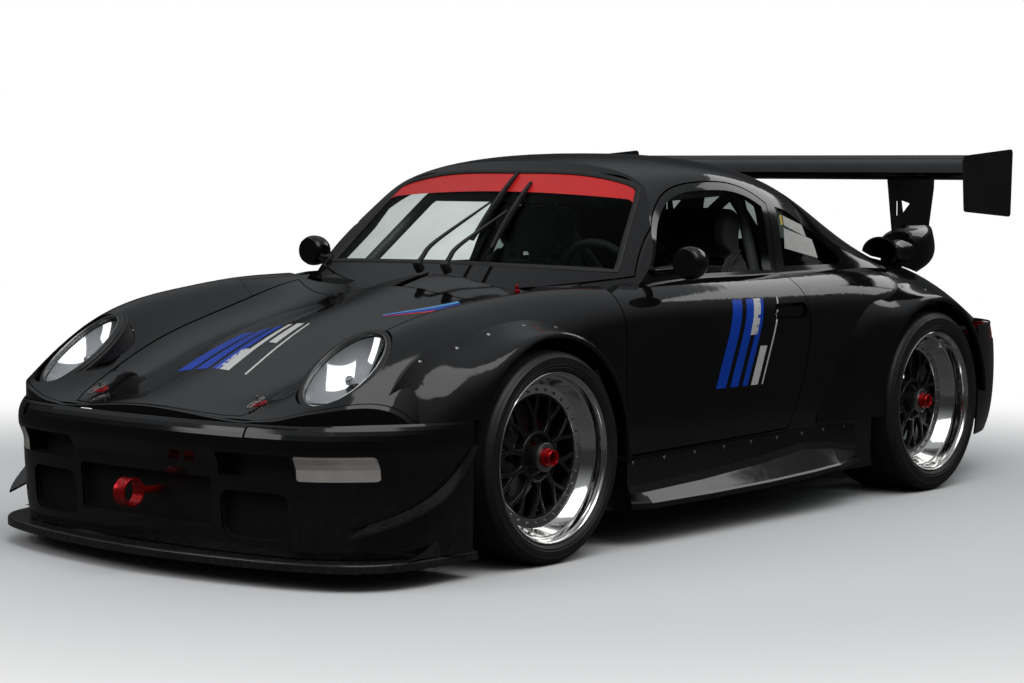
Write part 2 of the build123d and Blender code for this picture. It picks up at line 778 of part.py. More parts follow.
def make_tail_lamps():
    with BuildPart() as tail_lamps:
        add(tail_form(3, 0))
        add(tail_form(34, 30), mode=Mode.SUBTRACT)
        with BuildSketch(level(530)):
            with Locations((-3151, 520), (-3151, -520)):
                Rectangle(498, 556)
        extrude(amount=58, mode=Mode.INTERSECT)
    save(tail_lamps.part, "tail_lamps")


LAMP_RING = 20.0            # width of the headlamp's trim ring


def make_headlamps():
    with BuildPart() as headlamps:
        for side in (1, -1):
            with BuildSketch(lamp_plane(side, -100)):
                Ellipse(LAMP_WIDE - 2, LAMP_LONG - 2)
            extrude(amount=114)
            fillet(headlamps.edges().filter_by(GeomType.ELLIPSE).sort_by(Axis.Z)[-1], 8)
            with BuildSketch(lamp_plane(side, -88)):
                Ellipse(LAMP_WIDE - LAMP_RING, LAMP_LONG - LAMP_RING)
            extrude(amount=130, mode=Mode.SUBTRACT)
    save(headlamps.part, "headlamps")


def make_lamp_lenses():
    with BuildPart() as lamp_lenses:
        for side in (1, -1):
            for lift, share in ((0, 1.0), (10, 1.0), (19, 0.84), (25, 0.62), (29, 0.34), (30, 0.12)):
                with BuildSketch(lamp_plane(side, lift)):
                    Ellipse((LAMP_WIDE - LAMP_RING - 0.3) * share, (LAMP_LONG - LAMP_RING - 0.3) * share)
            loft(ruled=True)
    save(lamp_lenses.part, "lamp_lenses")


def make_front_grille():
    with BuildPart() as front_grille:
        add(BUMPER_INNER)
        add(bumper_form(SKIN + 52, 40), mode=Mode.SUBTRACT)
        add(mouth_prism(5), mode=Mode.INTERSECT)
        with BuildPart(mode=Mode.PRIVATE) as hollow:
            add(bumper_form(SKIN - 4, 40))
            add(bumper_form(SKIN + 46, 50), mode=Mode.SUBTRACT)
            add(mouth_prism(0), mode=Mode.INTERSECT)
        add(hollow.part, mode=Mode.SUBTRACT)
        add(slot_prism(-2), mode=Mode.SUBTRACT)
        add(box_between(780, 900, 34, 60, 235, 257), mode=Mode.SUBTRACT)
    save(front_grille.part, "front_grille")


def make_tow_hoop():
    with BuildPart() as tow_hoop:
        with BuildSketch(side_plane(47 + 23)):
            with Locations((960, 246)):
                Circle(42.5)
        extrude(amount=46)
        add(box_between(800, 925, 35, 59, 236, 256))
        with BuildSketch(side_plane(47 + 24)):
            with Locations((960, 246)):
                Circle(36)
        extrude(amount=48, mode=Mode.SUBTRACT)
    save(tow_hoop.part, "tow_hoop")


def make_wiper():
    def on_glass(z, y, lift):
        centre, set_back = screen_front(z, -lift)
        return (AXLE_X + centre - set_back * (y / 700) ** 2, y, z + lift * 0.6)

    with BuildPart() as wiper:
        with BuildLine():
            Line((AXLE_X - 345, 60, 835), (AXLE_X - 352, 60, 890))
        with BuildSketch(Plane(origin=(AXLE_X - 345, 60, 835), z_dir=(-0.13, 0, 1))):
            Circle(14)
        sweep()
        with BuildLine() as arm:
            Line((AXLE_X - 352, 60, 886), on_glass(1060, 48, 30))
        with BuildSketch(Plane(origin=arm.line @ 0, z_dir=arm.line % 0)):
            Circle(8)
        sweep(path=arm.line)
        with BuildLine() as blade:
            Line(on_glass(960, 70, 24), on_glass(1180, 20, 24))
        with BuildSketch(Plane(origin=blade.line @ 0, z_dir=blade.line % 0)):
            Circle(8)
        sweep(path=blade.line)
    save(wiper.part, "wiper")


# ---------------------------------------------------------------- structure and cabin
def make_floor_pan():
    with BuildPart() as floor_pan:
        add(box_between(-430, 560, -400, 400, 118, 138))
        add(box_between(-1800, -430, -700, 700, 118, 138))
        add(box_between(-2700, -1800, -540, 540, 118, 138))
        add(box_between(-60, 560, -400, 400, 138, 470))
        add(box_between(-50, 550, -390, 390, 150, 480), mode=Mode.SUBTRACT)
        add(box_between(-438, -424, -640, 640, 138, 740))
        add(box_between(-1800, -1785, -690, 690, 138, 740))
        for side in (1, -1):
            add(box_between(-1785, -450, min(side * 640, side * 735), max(side * 640, side * 735), 138, 270))
    save(floor_pan.part, "floor_pan")


def tube(points, radius):
    """Bent tube through points."""
    with BuildPart() as pipe:
        with BuildLine() as path:
            FilletPolyline(*points, radius=90) if len(points) > 2 else Line(*points)
        with BuildSketch(Plane(origin=path.line @ 0, z_dir=path.line % 0)):
            Circle(radius)
        sweep(path=path.line)
    return pipe.part


def make_roll_cage():
    def at(station, y, z):
        return (AXLE_X + station, y, z)

    with BuildPart() as roll_cage:
        add(tube([at(-1560, -600, 139), at(-1560, -590, 700), at(-1560, -470, 1140), at(-1560, 470, 1140),
                  at(-1560, 590, 700), at(-1560, 600, 139)], 20))
        for side in (1, -1):
            add(tube([at(-540, side * 600, 130), at(-610, side * 606, 740), at(-985, side * 478, 1100),
                      at(-1560, side * 468, 1128)], 20))
            add(tube([at(-1560, side * 440, 1120), at(-2120, side * 430, 640)], 20))
            add(tube([at(-1560, side * 596, 620), at(-565, side * 606, 330)], 20))
            add(tube([at(-1560, side * 600, 330), at(-590, side * 606, 560)], 20))
        add(tube([at(-985, -472, 1098), at(-985, 472, 1098)], 20))
        add(tube([at(-1560, 585, 700), at(-1560, -585, 700)], 20))
        add(tube([at(-1560, 455, 1120), at(-1560, -575, 300)], 20))
        add(box_between(-2000, -400, -1000, 1000, 0, 138.3), mode=Mode.SUBTRACT)
    save(roll_cage.part, "roll_cage")


# Seat seen from the front, as half width and height from its lower edge up.
SEAT_FRONT = [(186, 258), (197, 330), (197, 430), (192, 520), (198, 640), (222, 745), (226, 812), (190, 868),
              (158, 905), (150, 960), (152, 1020), (118, 1056)]


def make_seats():
    with BuildPart() as seats:
        for y in (370, -370):
            with BuildPart(mode=Mode.PRIVATE) as seat:
                with BuildSketch(side_plane(y + 190)):
                    with BuildLine():
                        front = Spline((-900, 330), (-1060, 292), (-1240, 288), (-1300, 330), (-1392, 640),
                                       (-1452, 900), (-1468, 1062))
                        top = Line(front @ 1, (-1512, 1058))
                        back = Spline(top @ 1, (-1500, 880), (-1430, 620), (-1345, 300), (-1240, 262),
                                      (-1060, 262), (-900, 300))
                        Line(back @ 1, front @ 0)
                    make_face()
                extrude(amount=380)
                for edge in (y + 240, y - 160):
                    with BuildSketch(side_plane(edge)):
                        with BuildLine():
                            upper = Spline((-925, 310), (-1000, 410), (-1160, 430), (-1262, 540),
                                           (-1324, 740), (-1380, 850), (-1464, 925))
                            tip = Line(upper @ 1, (-1500, 915))
                            lower = Spline(tip @ 1, (-1462, 780), (-1390, 540), (-1320, 330),
                                           (-1240, 272), (-1060, 270), (-925, 298))
                            Line(lower @ 1, upper @ 0)
                        make_face()
                    extrude(amount=80)
                for edge in (y + 160, y - 112):
                    with BuildSketch(side_plane(edge)):
                        with BuildLine():
                            wing = Spline((-1456, 905), (-1402, 950), (-1404, 1020), (-1466, 1062))
                            Polyline(wing @ 1, (-1500, 1056), (-1490, 915), wing @ 0)
                        make_face()
                    extrude(amount=48)
                with BuildSketch(across(-1600)):
                    with BuildLine():
                        left = Spline(*[(y + wide, z) for wide, z in SEAT_FRONT])
                        right = Spline(*[(y - wide, z) for wide, z in SEAT_FRONT])
                        Line(left @ 0, right @ 0)
                        ThreePointArc(left @ 1, (y, 1062), right @ 1)
                    make_face()
                extrude(amount=750, mode=Mode.INTERSECT)
                with BuildSketch(across(-1600)):
                    with Locations((y - 78, 868), (y + 78, 868)):
                        RectangleRounded(92, 30, 12)
                extrude(amount=260, mode=Mode.SUBTRACT)
            add(seat.part)
            add(box_between(-1240, -960, y - 170, y + 170, 138.5, 275))
    save(seats.part, "seats")


def make_dashboard():
    with BuildPart() as dashboard:
        with BuildSketch(side_plane(550)):
            with BuildLine():
                top = Spline((-470, 812), (-600, 836), (-720, 830), (-760, 790))
                face = Line(top @ 1, (-735, 660))
                under = Line(face @ 1, (-600, 600))
                front = Line(under @ 1, (-470, 640))
                Line(front @ 1, top @ 0)
            make_face()
        extrude(amount=1100)
        with BuildSketch(steer_plane(-230)):
            Circle(28.3)
        extrude(amount=200, mode=Mode.SUBTRACT)
    save(dashboard.part, "dashboard")


WHEEL_LEAN = 24.0
WHEEL_CENTRE = (-905.0, 370.0, 800.0)


def steer_plane(offset):
    """Plane square to the steering column, moved along it towards the driver."""
    along = (-cos(radians(WHEEL_LEAN)), 0, sin(radians(WHEEL_LEAN)))
    origin = (
        AXLE_X + WHEEL_CENTRE[0] + along[0] * offset,
        WHEEL_CENTRE[1],
        WHEEL_CENTRE[2] + along[2] * offset,
    )
    return Plane(origin=origin, x_dir=(0, 1, 0), z_dir=along)


def make_steering():
    with BuildPart() as steering_column:
        with BuildSketch(steer_plane(-180)):
            Circle(28)
        extrude(amount=120)
        with BuildSketch(steer_plane(-60)):
            Circle(12)
        extrude(amount=75)
    save(steering_column.part, "steering_column")
    with BuildPart() as steering_wheel:
        with BuildSketch(steer_plane(-55)):
            Circle(34)
        extrude(amount=72)
        with BuildSketch(steer_plane(0)):
            with PolarLocations(88, 3, 90):
                Rectangle(150, 26)
        extrude(amount=6)
        with BuildSketch(Plane(origin=steer_plane(3).origin, x_dir=(0, 1, 0),
                               z_dir=(sin(radians(WHEEL_LEAN)), 0, cos(radians(WHEEL_LEAN))))):
            with Locations((160, 0)):
                Circle(15)
        revolve(axis=Axis(steer_plane(3).origin, steer_plane(3).z_dir))
        with BuildSketch(steer_plane(-56)):
            Circle(12 + RUN_CLEAR)
        extrude(amount=72, mode=Mode.SUBTRACT)
    save(steering_wheel.part, "steering_wheel")


def make_engine_block():
    save(box_between(-3060, -2480, -300, 300, 240, 600), "engine_block")


def make_exhausts():
    with BuildPart() as exhausts:
        for side in (1, -1):
            with BuildSketch(across(-3320)):
                with Locations((side * 420, 205)):
                    Circle(45)
            extrude(amount=300)
            with BuildSketch(across(-3321)):
                with Locations((side * 420, 205)):
                    Circle(41)
            extrude(amount=280, mode=Mode.SUBTRACT)
    save(exhausts.part, "exhausts")


ARM_DROP = 115.0            # ball joints below and above the wheel's centre


def make_suspension():
    with BuildPart() as suspension:
        for side in (1, -1):
            for z in (FRONT_TYRE_R - ARM_DROP, FRONT_TYRE_R + ARM_DROP):
                with BuildSketch(level(z - 10)):
                    with Locations((0, side * KINGPIN_Y)):
                        Circle(22)
                    with BuildLine():
                        Polyline((-18, side * 690), (18, side * 690), (110, side * 401), (-110, side * 401),
                                 close=True)
                    make_face()
                extrude(amount=20)
                with BuildSketch(level(z - 12)):
                    with Locations((0, side * KINGPIN_Y)):
                        Circle(KINGPIN_R + RUN_CLEAR)
                extrude(amount=24, mode=Mode.SUBTRACT)
            with BuildSketch(level(FRONT_TYRE_R + ARM_DROP + 5)):
                with Locations((0, side * 556)):
                    Circle(22)
            extrude(amount=200)
            with BuildSketch(level(640)):
                with Locations((0, side * 488)):
                    Rectangle(60, 175)
            extrude(amount=14)
            with BuildSketch(side_plane(side * 470)):
                with Locations((REAR_AXLE, REAR_TYRE_R)):
                    Circle(60)
            extrude(amount=-side * 130)
            with BuildSketch(side_plane(side * 600)):
                with Locations((REAR_AXLE, REAR_TYRE_R)):
                    Circle(STUB_R)
            extrude(amount=-side * 240)
    save(suspension.part, "suspension")


def make_knuckle(side, name):
    with BuildPart() as knuckle:
        with BuildSketch(level(FRONT_TYRE_R - ARM_DROP + 11)):
            with Locations((0, side * KINGPIN_Y)):
                Circle(26)
        extrude(amount=2 * ARM_DROP - 22)
        with BuildSketch(level(FRONT_TYRE_R - ARM_DROP - 14)):
            with Locations((0, side * KINGPIN_Y)):
                Circle(KINGPIN_R)
        extrude(amount=2 * ARM_DROP + 28)
        with BuildSketch(side_plane(side * KINGPIN_Y)):
            with Locations((0, FRONT_TYRE_R)):
                Circle(STUB_R)
        extrude(amount=-side * 140)
    save(knuckle.part, name)


def make_wheel(axle, side, radius, width, out, where):
    """Tyre and wheel about their axle."""
    centre = Vector(AXLE_X + axle, side * (out - width / 2), radius)
    spin = Plane(origin=centre, x_dir=(0, side, 0), z_dir=(1, 0, 0))
    half = width / 2
    with BuildPart() as tyre:
        with BuildSketch(spin):
            with BuildLine():
                Polyline(
                    (half - 14, RIM_R - 4), (half - 2, RIM_R + 18), (half, RIM_R + 36), (half - 14, radius - 8),
                    (half - 34, radius), (34 - half, radius), (14 - half, radius - 8), (-half, RIM_R + 36),
                    (2 - half, RIM_R + 18), (14 - half, RIM_R - 4), close=True,
                )
            make_face()
        revolve(axis=Axis(centre, (0, 1, 0)))
    save(tyre.part, f"tyre_{where}")
    with BuildPart() as rim:
        with BuildSketch(spin):
            with BuildLine():
                Polyline((half - 14, RIM_R - 5), (half - 14, RIM_R - 16), (half - 40, RIM_R - 20),
                         (half - 60, RIM_R - 45), (half - 84, RIM_R - 48), (-half + 14, RIM_R - 18),
                         (-half + 14, RIM_R - 5), close=True)
            make_face()
            with BuildLine():
                Polyline((half - 72, 26), (half - 72, 60), (half - 84, 90), (half - 84, RIM_R - 40),
                         (half - 96, RIM_R - 40), (half - 110, 60), (half - 110, 26), close=True)
            make_face()
        revolve(axis=Axis(centre, (0, 1, 0)))
        with BuildSketch(Plane(origin=centre, x_dir=(1, 0, 0), z_dir=(0, 1, 0))):
            with PolarLocations(150, 20):
                SlotOverall(96, 24)
        extrude(amount=200, both=True, mode=Mode.SUBTRACT)
        with BuildSketch(Plane(origin=centre, x_dir=(1, 0, 0), z_dir=(0, 1, 0))):
            Circle(STUB_R + RUN_CLEAR)
        extrude(amount=300, both=True, mode=Mode.SUBTRACT)
    save(rim.part, f"rim_{where}")


# ---------------------------------------------------------------- moving panels
def make_bonnet():
    with BuildPart() as bonnet:
        add(THIN_SKIN)
        add(PLAN_FRONT, mode=Mode.INTERSECT)
        add(bonnet_prism(0), mode=Mode.INTERSECT)
        add(box_between(-600, 1000, -700, 700, 400, 900), mode=Mode.INTERSECT)
    save(bonnet.part, "bonnet")


SCOOP_Y = 552.0             # centre of each air scoop and wing support
# Air scoop: levels of its bowl as height, centre, half length and half width.
SCOOP_BOWL = [
    (742, -2560, 66, 50), (790, -2566, 78, 60), (826, -2606, 140, 74), (868, -2632, 176, 80),
    (915, -2642, 172, 78), (955, -2664, 146, 62), (984, -2700, 104, 26),
]
# Its horn from the mouth back: station, height, half width, half height.
SCOOP_HORN = [(-2424, 884, 79, 60), (-2436, 884, 74, 56), (-2500, 884, 68, 54), (-2620, 888, 56, 50)]


def scoop_form(side, shrink):
    """Air scoop at the foot of a wing support. A shrunk one is its cavity, open forwards."""
    with BuildPart() as scoop:
        for station, z, wide, high in SCOOP_HORN:
            with BuildSketch(across(station + (6 if shrink and station > -2430 else 0))):
                with Locations((side * (SCOOP_Y + 6), z)):
                    Ellipse(wide - shrink, high - shrink)
        loft()
    return scoop.part


def bowl_form(side):
    """Round body of a scoop, rising out of the engine lid on a narrow neck."""
    with BuildPart() as bowl:
        for z, station, long, wide in SCOOP_BOWL:
            with BuildSketch(level(z)):
                with Locations((station, side * SCOOP_Y)):
                    Ellipse(long, wide)
        loft()
    return bowl.part


def make_engine_lid():
    with BuildPart() as clear_body:
        add(body_form(-7, 0))
        add(roof_form(-7, 60))
        add(lid_prism(0), mode=Mode.SUBTRACT)
    with BuildPart() as engine_lid:
        add(THIN_SKIN)
        add(lid_prism(0), mode=Mode.INTERSECT)
        for side in (1, -1):
            add(bowl_form(side))
            add(scoop_form(side, 0))
            add(scoop_form(side, 6), mode=Mode.SUBTRACT)
        add(clear_body.part, mode=Mode.SUBTRACT)
    save(engine_lid.part, "engine_lid")


WING_END_Y = 900.0
PLATE = 6.0                 # supports and end plates


def make_wing():
    with BuildPart() as rear_wing:
        with BuildSketch(side_plane(WING_END_Y)):
            with BuildLine():
                top = Spline((-2448, 1192), (-2470, 1224), (-2600, 1244), (-2760, 1236), (-2830, 1262))
                end = Line(top @ 1, (-2830, 1256))
                under = Spline(end @ 1, (-2760, 1208), (-2600, 1176), (-2480, 1170), (-2448, 1192))
            make_face()
        extrude(amount=2 * WING_END_Y)
    save(rear_wing.part, "rear_wing")
    with BuildPart() as wing_supports:
        for side in (1, -1):
            with BuildSketch(side_plane(side * (SCOOP_Y + PLATE / 2))):
                with BuildLine():
                    Polyline(
                        (-2478, 1215), (-2496, 1120), (-2529, 948), (-2540, 900), (-2760, 900),
                        (-2812, 984), (-2846, 1131), (-2850, 1250), close=True,
                    )
                make_face()
                with Locations((-2561, 1052)):
                    SlotOverall(62, 15, rotation=90, mode=Mode.SUBTRACT)
                with BuildLine():
                    Polyline((-2592, 1084), (-2606, 1030), (-2664, 1070), close=True)
                make_face(mode=Mode.SUBTRACT)
            extrude(amount=side * PLATE)
            add(bowl_form(side), mode=Mode.SUBTRACT)
            add(scoop_form(side, 0), mode=Mode.SUBTRACT)
        add(rear_wing.part, mode=Mode.SUBTRACT)
    save(wing_supports.part, "wing_supports")
    with BuildPart() as wing_end_plates:
        for side in (1, -1):
            with BuildSketch(side_plane(side * WING_END_Y)):
                with BuildLine():
                    FilletPolyline((-2439, 1255), (-2456, 1044), (-2824, 1021), (-2834, 1285),
                                   radius=16, close=True)
                make_face()
            extrude(amount=-side * PLATE)
    save(wing_end_plates.part, "wing_end_plates")


MIRROR_CENTRE = (-742.0, 846.0, 893.0)


def make_mirrors():
    for side, name in ((1, "mirror_left"), (-1, "mirror_right")):
        x, y, z = AXLE_X + MIRROR_CENTRE[0], side * MIRROR_CENTRE[1], MIRROR_CENTRE[2]
        with BuildPart() as mirror_part:
            with BuildSketch(Plane(origin=(x, y, z), x_dir=(0, 0, 1), z_dir=(0, -1, 0))):
                with BuildLine():
                    egg = Spline((0, 58), (34, 48), (54, 12), (50, -28), (46, -38),
                                 tangents=((1, 0), (-0.1, -1)))
                    Polyline(egg @ 1, (0, -38), egg @ 0)
                make_face()
            revolve(axis=Axis((x, y, z), (1, 0, 0)))
            with BuildLine() as stalk:
                Line((x + 30, side * 706, z - 31), (x + 14, side * 828, z - 18))
            with BuildSketch(Plane(origin=stalk.line @ 0, z_dir=stalk.line % 0)):
                Circle(14)
            sweep(path=stalk.line)
        save(mirror_part.part, name)


make_front_fenders()
make_body_shell()
make_bonnet()
make_engine_lid()
make_wing()
for side, name in ((1, "left"), (-1, "right")):
    make_door(side, "door_" + name)
    make_knuckle(side, "front_knuckle_" + name)
    make_wheel(0, side, FRONT_TYRE_R, FRONT_TYRE_W, FRONT_TYRE_OUT, "front_" + name)
    make_wheel(REAR_AXLE, side, REAR_TYRE_R, REAR_TYRE_W, REAR_TYRE_OUT, "rear_" + name)
make_mirrors()
make_front_bumper()
make_indicator_lamps()
make_front_grille()
make_tow_hoop()
make_front_splitter()
make_canards()
make_flares("front_flares", 0, FRONT_TYRE_R, FRONT_LIP_R, FRONT_LIP_Y, FRONT_RIBS, 290)
make_flares("rear_flares", REAR_AXLE, REAR_TYRE_R, REAR_LIP_R, REAR_LIP_Y, REAR_RIBS, 310)
make_side_skirts()
make_rear_bumper()
make_tail_lamps()
make_exhausts()
make_headlamps()
make_lamp_lenses()
make_wiper()
make_glass(screen_prism(-1), 840, "windscreen")
make_glass(rear_prism(-1), 800, "rear_window")
make_glass(side_prism(QUARTER_WINDOW, QUARTER_CORNERS, -1), 840, "quarter_windows")
make_floor_pan()
make_roll_cage()
make_seats()
make_dashboard()
make_steering()
make_engine_block()
make_suspension()
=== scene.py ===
import json

import bmesh
import bpy
import numpy as np
from mathutils import Matrix, Vector
from mathutils.bvhtree import BVHTree


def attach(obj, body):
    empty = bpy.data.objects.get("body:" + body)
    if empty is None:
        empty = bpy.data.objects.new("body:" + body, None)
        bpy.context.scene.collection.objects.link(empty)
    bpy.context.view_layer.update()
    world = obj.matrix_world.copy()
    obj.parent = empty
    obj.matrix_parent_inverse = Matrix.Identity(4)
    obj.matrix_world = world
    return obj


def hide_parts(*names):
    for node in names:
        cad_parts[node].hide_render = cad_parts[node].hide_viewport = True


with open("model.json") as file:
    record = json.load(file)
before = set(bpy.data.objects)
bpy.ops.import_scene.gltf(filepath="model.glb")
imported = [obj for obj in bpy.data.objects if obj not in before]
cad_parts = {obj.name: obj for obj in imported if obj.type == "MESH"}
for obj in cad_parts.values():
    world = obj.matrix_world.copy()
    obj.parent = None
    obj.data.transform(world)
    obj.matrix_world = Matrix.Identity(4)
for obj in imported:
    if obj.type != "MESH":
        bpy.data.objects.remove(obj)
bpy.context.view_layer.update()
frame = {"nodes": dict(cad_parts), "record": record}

# Metres, +X forward, +Y to the car's left, +Z up. Stations are measured from the front axle.
axleX = 1.159
rearAxle = -2.272


# ---- camera, light and floor
view = {
    "place": (5.5623 + axleX, 5.2587, 1.1790),
    "yaw": -2.4556,
    "pitch": -0.0708,
    "roll": 0.0051,
    "lens": 83.13,
    "skyLevel": 0.42,
    "horizonLevel": 0.035,
    "floorColour": 0.9,
    "floorSeenByCar": 0.1,
    "floorEnds": (2.2, 4.6),
    "floorSteps": 64,
}
# place, target, size and power
lamps = {
    "key": ((2.5, 3.5, 6.5), (0, 0, 0.4), (6, 5), 190.0),
    "fill": ((6.0, -2.5, 3.5), (0, 0, 0.5), (3, 2), 40.0),
    "back": ((-6.0, 1.0, 4.0), (-1, 0, 0.6), (4, 2), 40.0),
}


def makeCamera():
    yaw, pitch, roll = view["yaw"], view["pitch"], view["roll"]
    ahead = np.array([np.cos(yaw) * np.cos(pitch), np.sin(yaw) * np.cos(pitch), np.sin(pitch)])
    right = np.array([np.sin(yaw), -np.cos(yaw), 0.0])
    up = np.cross(right, ahead)
    rightTurned = np.cos(roll) * right + np.sin(roll) * up
    upTurned = -np.sin(roll) * right + np.cos(roll) * up
    data = bpy.data.cameras.new("camera")
    data.lens = view["lens"]
    data.sensor_width = 36.0
    data.clip_end = 200.0
    camera = bpy.data.objects.new("camera", data)
    bpy.context.collection.objects.link(camera)
    turn = Matrix([[rightTurned[i], upTurned[i], -ahead[i]] for i in range(3)]).to_4x4()
    camera.matrix_world = Matrix.Translation(view["place"]) @ turn
    bpy.context.scene.camera = camera


def areaLamp(name, place, target, size, power):
    data = bpy.data.lights.new(name, "AREA")
    data.shape = "RECTANGLE"
    data.size, data.size_y = size
    data.energy = power
    lamp = bpy.data.objects.new(name, data)
    bpy.context.collection.objects.link(lamp)
    lamp.location = place
    lamp.rotation_euler = (Vector(target) - Vector(place)).to_track_quat("-Z", "Y").to_euler()


def addNode(tree, kind, values=None, **settings):
    # values are sockets to set, or to link where a value is a socket itself
    node = tree.nodes.new("ShaderNode" + kind)
    for key, value in settings.items():
        setattr(node, key, value)
    for key, value in (values or {}).items():
        if isinstance(value, bpy.types.NodeSocket):
            tree.links.new(value, node.inputs[key])
        else:
            node.inputs[key].default_value = value
    return node


def worked(tree, operation, *values):
    # one step of arithmetic on sockets and numbers
    return addNode(tree, "Math", dict(enumerate(values)), operation=operation).outputs[0]


def makeStudio():
    scene = bpy.context.scene
    scene.view_settings.view_transform = "Standard"
    world = bpy.data.worlds.new("studio")
    scene.world = world
    world.use_nodes = True
    tree = world.node_tree
    tree.nodes.clear()
    path = addNode(tree, "LightPath")
    seen = worked(tree, "MAXIMUM", path.outputs["Is Camera Ray"], path.outputs["Is Transmission Ray"])
    # the soft box overhead fades to a dim wall at the horizon
    way = addNode(tree, "TexCoord")
    parts = addNode(tree, "SeparateXYZ", {0: way.outputs["Generated"]})
    rise = addNode(tree, "MapRange", {0: parts.outputs["Z"], 1: 0.18, 2: 0.80, 3: view["horizonLevel"],
                                      4: view["skyLevel"]}, interpolation_type="SMOOTHSTEP")
    white = addNode(tree, "Background", {"Color": (1, 1, 1, 1)})
    soft = addNode(tree, "Background", {"Color": (0.93, 0.965, 1, 1), "Strength": rise.outputs[0]})
    mix = addNode(tree, "MixShader", {0: seen, 1: soft.outputs[0], 2: white.outputs[0]})
    addNode(tree, "OutputWorld", {0: mix.outputs[0]})
    for name, settings in lamps.items():
        areaLamp(name, *settings)
    floor = bpy.data.meshes.new("floor")
    t = np.linspace(0, 2 * np.pi, view["floorSteps"], endpoint=False)
    clear, gone = view["floorEnds"]
    rim = np.stack([gone * np.cos(t), gone * np.sin(t), 0 * t], 1)
    floor.from_pydata(rim.tolist(), [], [list(range(len(t)))])
    floorObject = bpy.data.objects.new("floor", floor)
    bpy.context.collection.objects.link(floorObject)
    material = bpy.data.materials.new("paleFloor")
    material.use_nodes = True
    tree = material.node_tree
    shader = tree.nodes["Principled BSDF"]
    path = addNode(tree, "LightPath")
    tone = addNode(tree, "MapRange", {0: path.outputs["Is Camera Ray"], 3: view["floorSeenByCar"],
                                      4: view["floorColour"]})
    tree.links.new(tone.outputs[0], shader.inputs["Base Color"])
    shader.inputs["Roughness"].default_value = 1.0
    shader.inputs["Specular IOR Level"].default_value = 0.0
    place = addNode(tree, "TexCoord")
    away = addNode(tree, "VectorMath", {0: place.outputs["Object"]}, operation="LENGTH")
    fade = addNode(tree, "MapRange", {0: away.outputs["Value"], 1: clear, 2: gone, 3: 1.0, 4: 0.0},
                   interpolation_type="SMOOTHSTEP")
    tree.links.new(fade.outputs[0], shader.inputs["Alpha"])
    floor.materials.append(material)
    print("camera, light and floor")


makeCamera()
makeStudio()


# ---- finishes
# each look: colour, its duller companion, patch scale, lowest and highest roughness, grain scale, bump
looks = {
    "glossBlack": ((0.0035, 0.0035, 0.004), (0.006, 0.006, 0.0065), 3.0, (0.045, 0.1), 620.0, 0.012),
    "satinBlack": ((0.01, 0.01, 0.011), (0.016, 0.016, 0.017), 14.0, (0.3, 0.42), 900.0, 0.05),
    "splitterBlack": ((0.008, 0.008, 0.009), (0.014, 0.014, 0.015), 9.0, (0.12, 0.26), 500.0, 0.02),
    "gasketRubber": ((0.008, 0.008, 0.008), (0.014, 0.014, 0.014), 30.0, (0.42, 0.55), 1200.0, 0.08),
    "cabinTrim": ((0.02, 0.021, 0.022), (0.03, 0.031, 0.033), 12.0, (0.55, 0.7), 1500.0, 0.15),
    "cagePaint": ((0.2, 0.215, 0.205), (0.25, 0.265, 0.255), 8.0, (0.25, 0.35), 700.0, 0.03),
    "zincSteel": ((0.42, 0.42, 0.41), (0.3, 0.3, 0.295), 20.0, (0.28, 0.42), 800.0, 0.05),
    "polishedLip": ((0.8, 0.79, 0.775), (0.7, 0.69, 0.68), 25.0, (0.05, 0.13), 900.0, 0.012),
    "chromeBowl": ((0.88, 0.88, 0.89), (0.8, 0.8, 0.82), 30.0, (0.04, 0.09), 700.0, 0.01),
    "spokeBlack": ((0.007, 0.007, 0.008), (0.012, 0.012, 0.012), 40.0, (0.2, 0.3), 900.0, 0.03),
    "redAnodised": ((0.62, 0.012, 0.016), (0.5, 0.01, 0.014), 60.0, (0.22, 0.3), 1200.0, 0.03),
    "redVinyl": ((0.8, 0.022, 0.02), (0.74, 0.02, 0.019), 9.0, (0.25, 0.33), 600.0, 0.02),
    "blueVinyl": ((0.006, 0.075, 0.62), (0.006, 0.065, 0.55), 12.0, (0.18, 0.26), 600.0, 0.02),
    "paleBlueVinyl": ((0.1, 0.36, 0.72), (0.09, 0.32, 0.66), 12.0, (0.18, 0.26), 600.0, 0.02),
    "whiteVinyl": ((0.8, 0.8, 0.79), (0.74, 0.74, 0.72), 40.0, (0.3, 0.4), 600.0, 0.02),
    "paperWhite": ((0.66, 0.66, 0.64), (0.58, 0.57, 0.53), 45.0, (0.6, 0.7), 900.0, 0.04),
    "paperYellow": ((0.78, 0.56, 0.05), (0.7, 0.5, 0.05), 45.0, (0.5, 0.6), 900.0, 0.04),
    "meshBlack": ((0.012, 0.012, 0.012), (0.022, 0.021, 0.02), 60.0, (0.4, 0.55), 1500.0, 0.1),
    "floorCoat": ((0.018, 0.018, 0.019), (0.03, 0.029, 0.027), 5.0, (0.5, 0.7), 300.0, 0.25),
    "castCasing": ((0.22, 0.22, 0.22), (0.15, 0.15, 0.15), 12.0, (0.45, 0.6), 250.0, 0.3),
    "exhaustSteel": ((0.36, 0.33, 0.3), (0.22, 0.18, 0.17), 18.0, (0.25, 0.4), 500.0, 0.05),
    "discIron": ((0.34, 0.33, 0.32), (0.26, 0.24, 0.23), 30.0, (0.3, 0.4), 900.0, 0.05),
}
metallic = {"zincSteel": 1.0, "polishedLip": 1.0, "chromeBowl": 1.0, "redAnodised": 0.7, "castCasing": 0.8,
            "exhaustSteel": 1.0, "discIron": 1.0}
# tint, roughness and smear
glasses = {
    "clearGlass": ((0.86, 0.90, 0.885), 0.02, 0.02),
    "tintedGlass": ((0.55, 0.60, 0.58), 0.03, 0.03),
    "lampGlass": ((0.97, 0.97, 0.97), 0.02, 0.01),
}
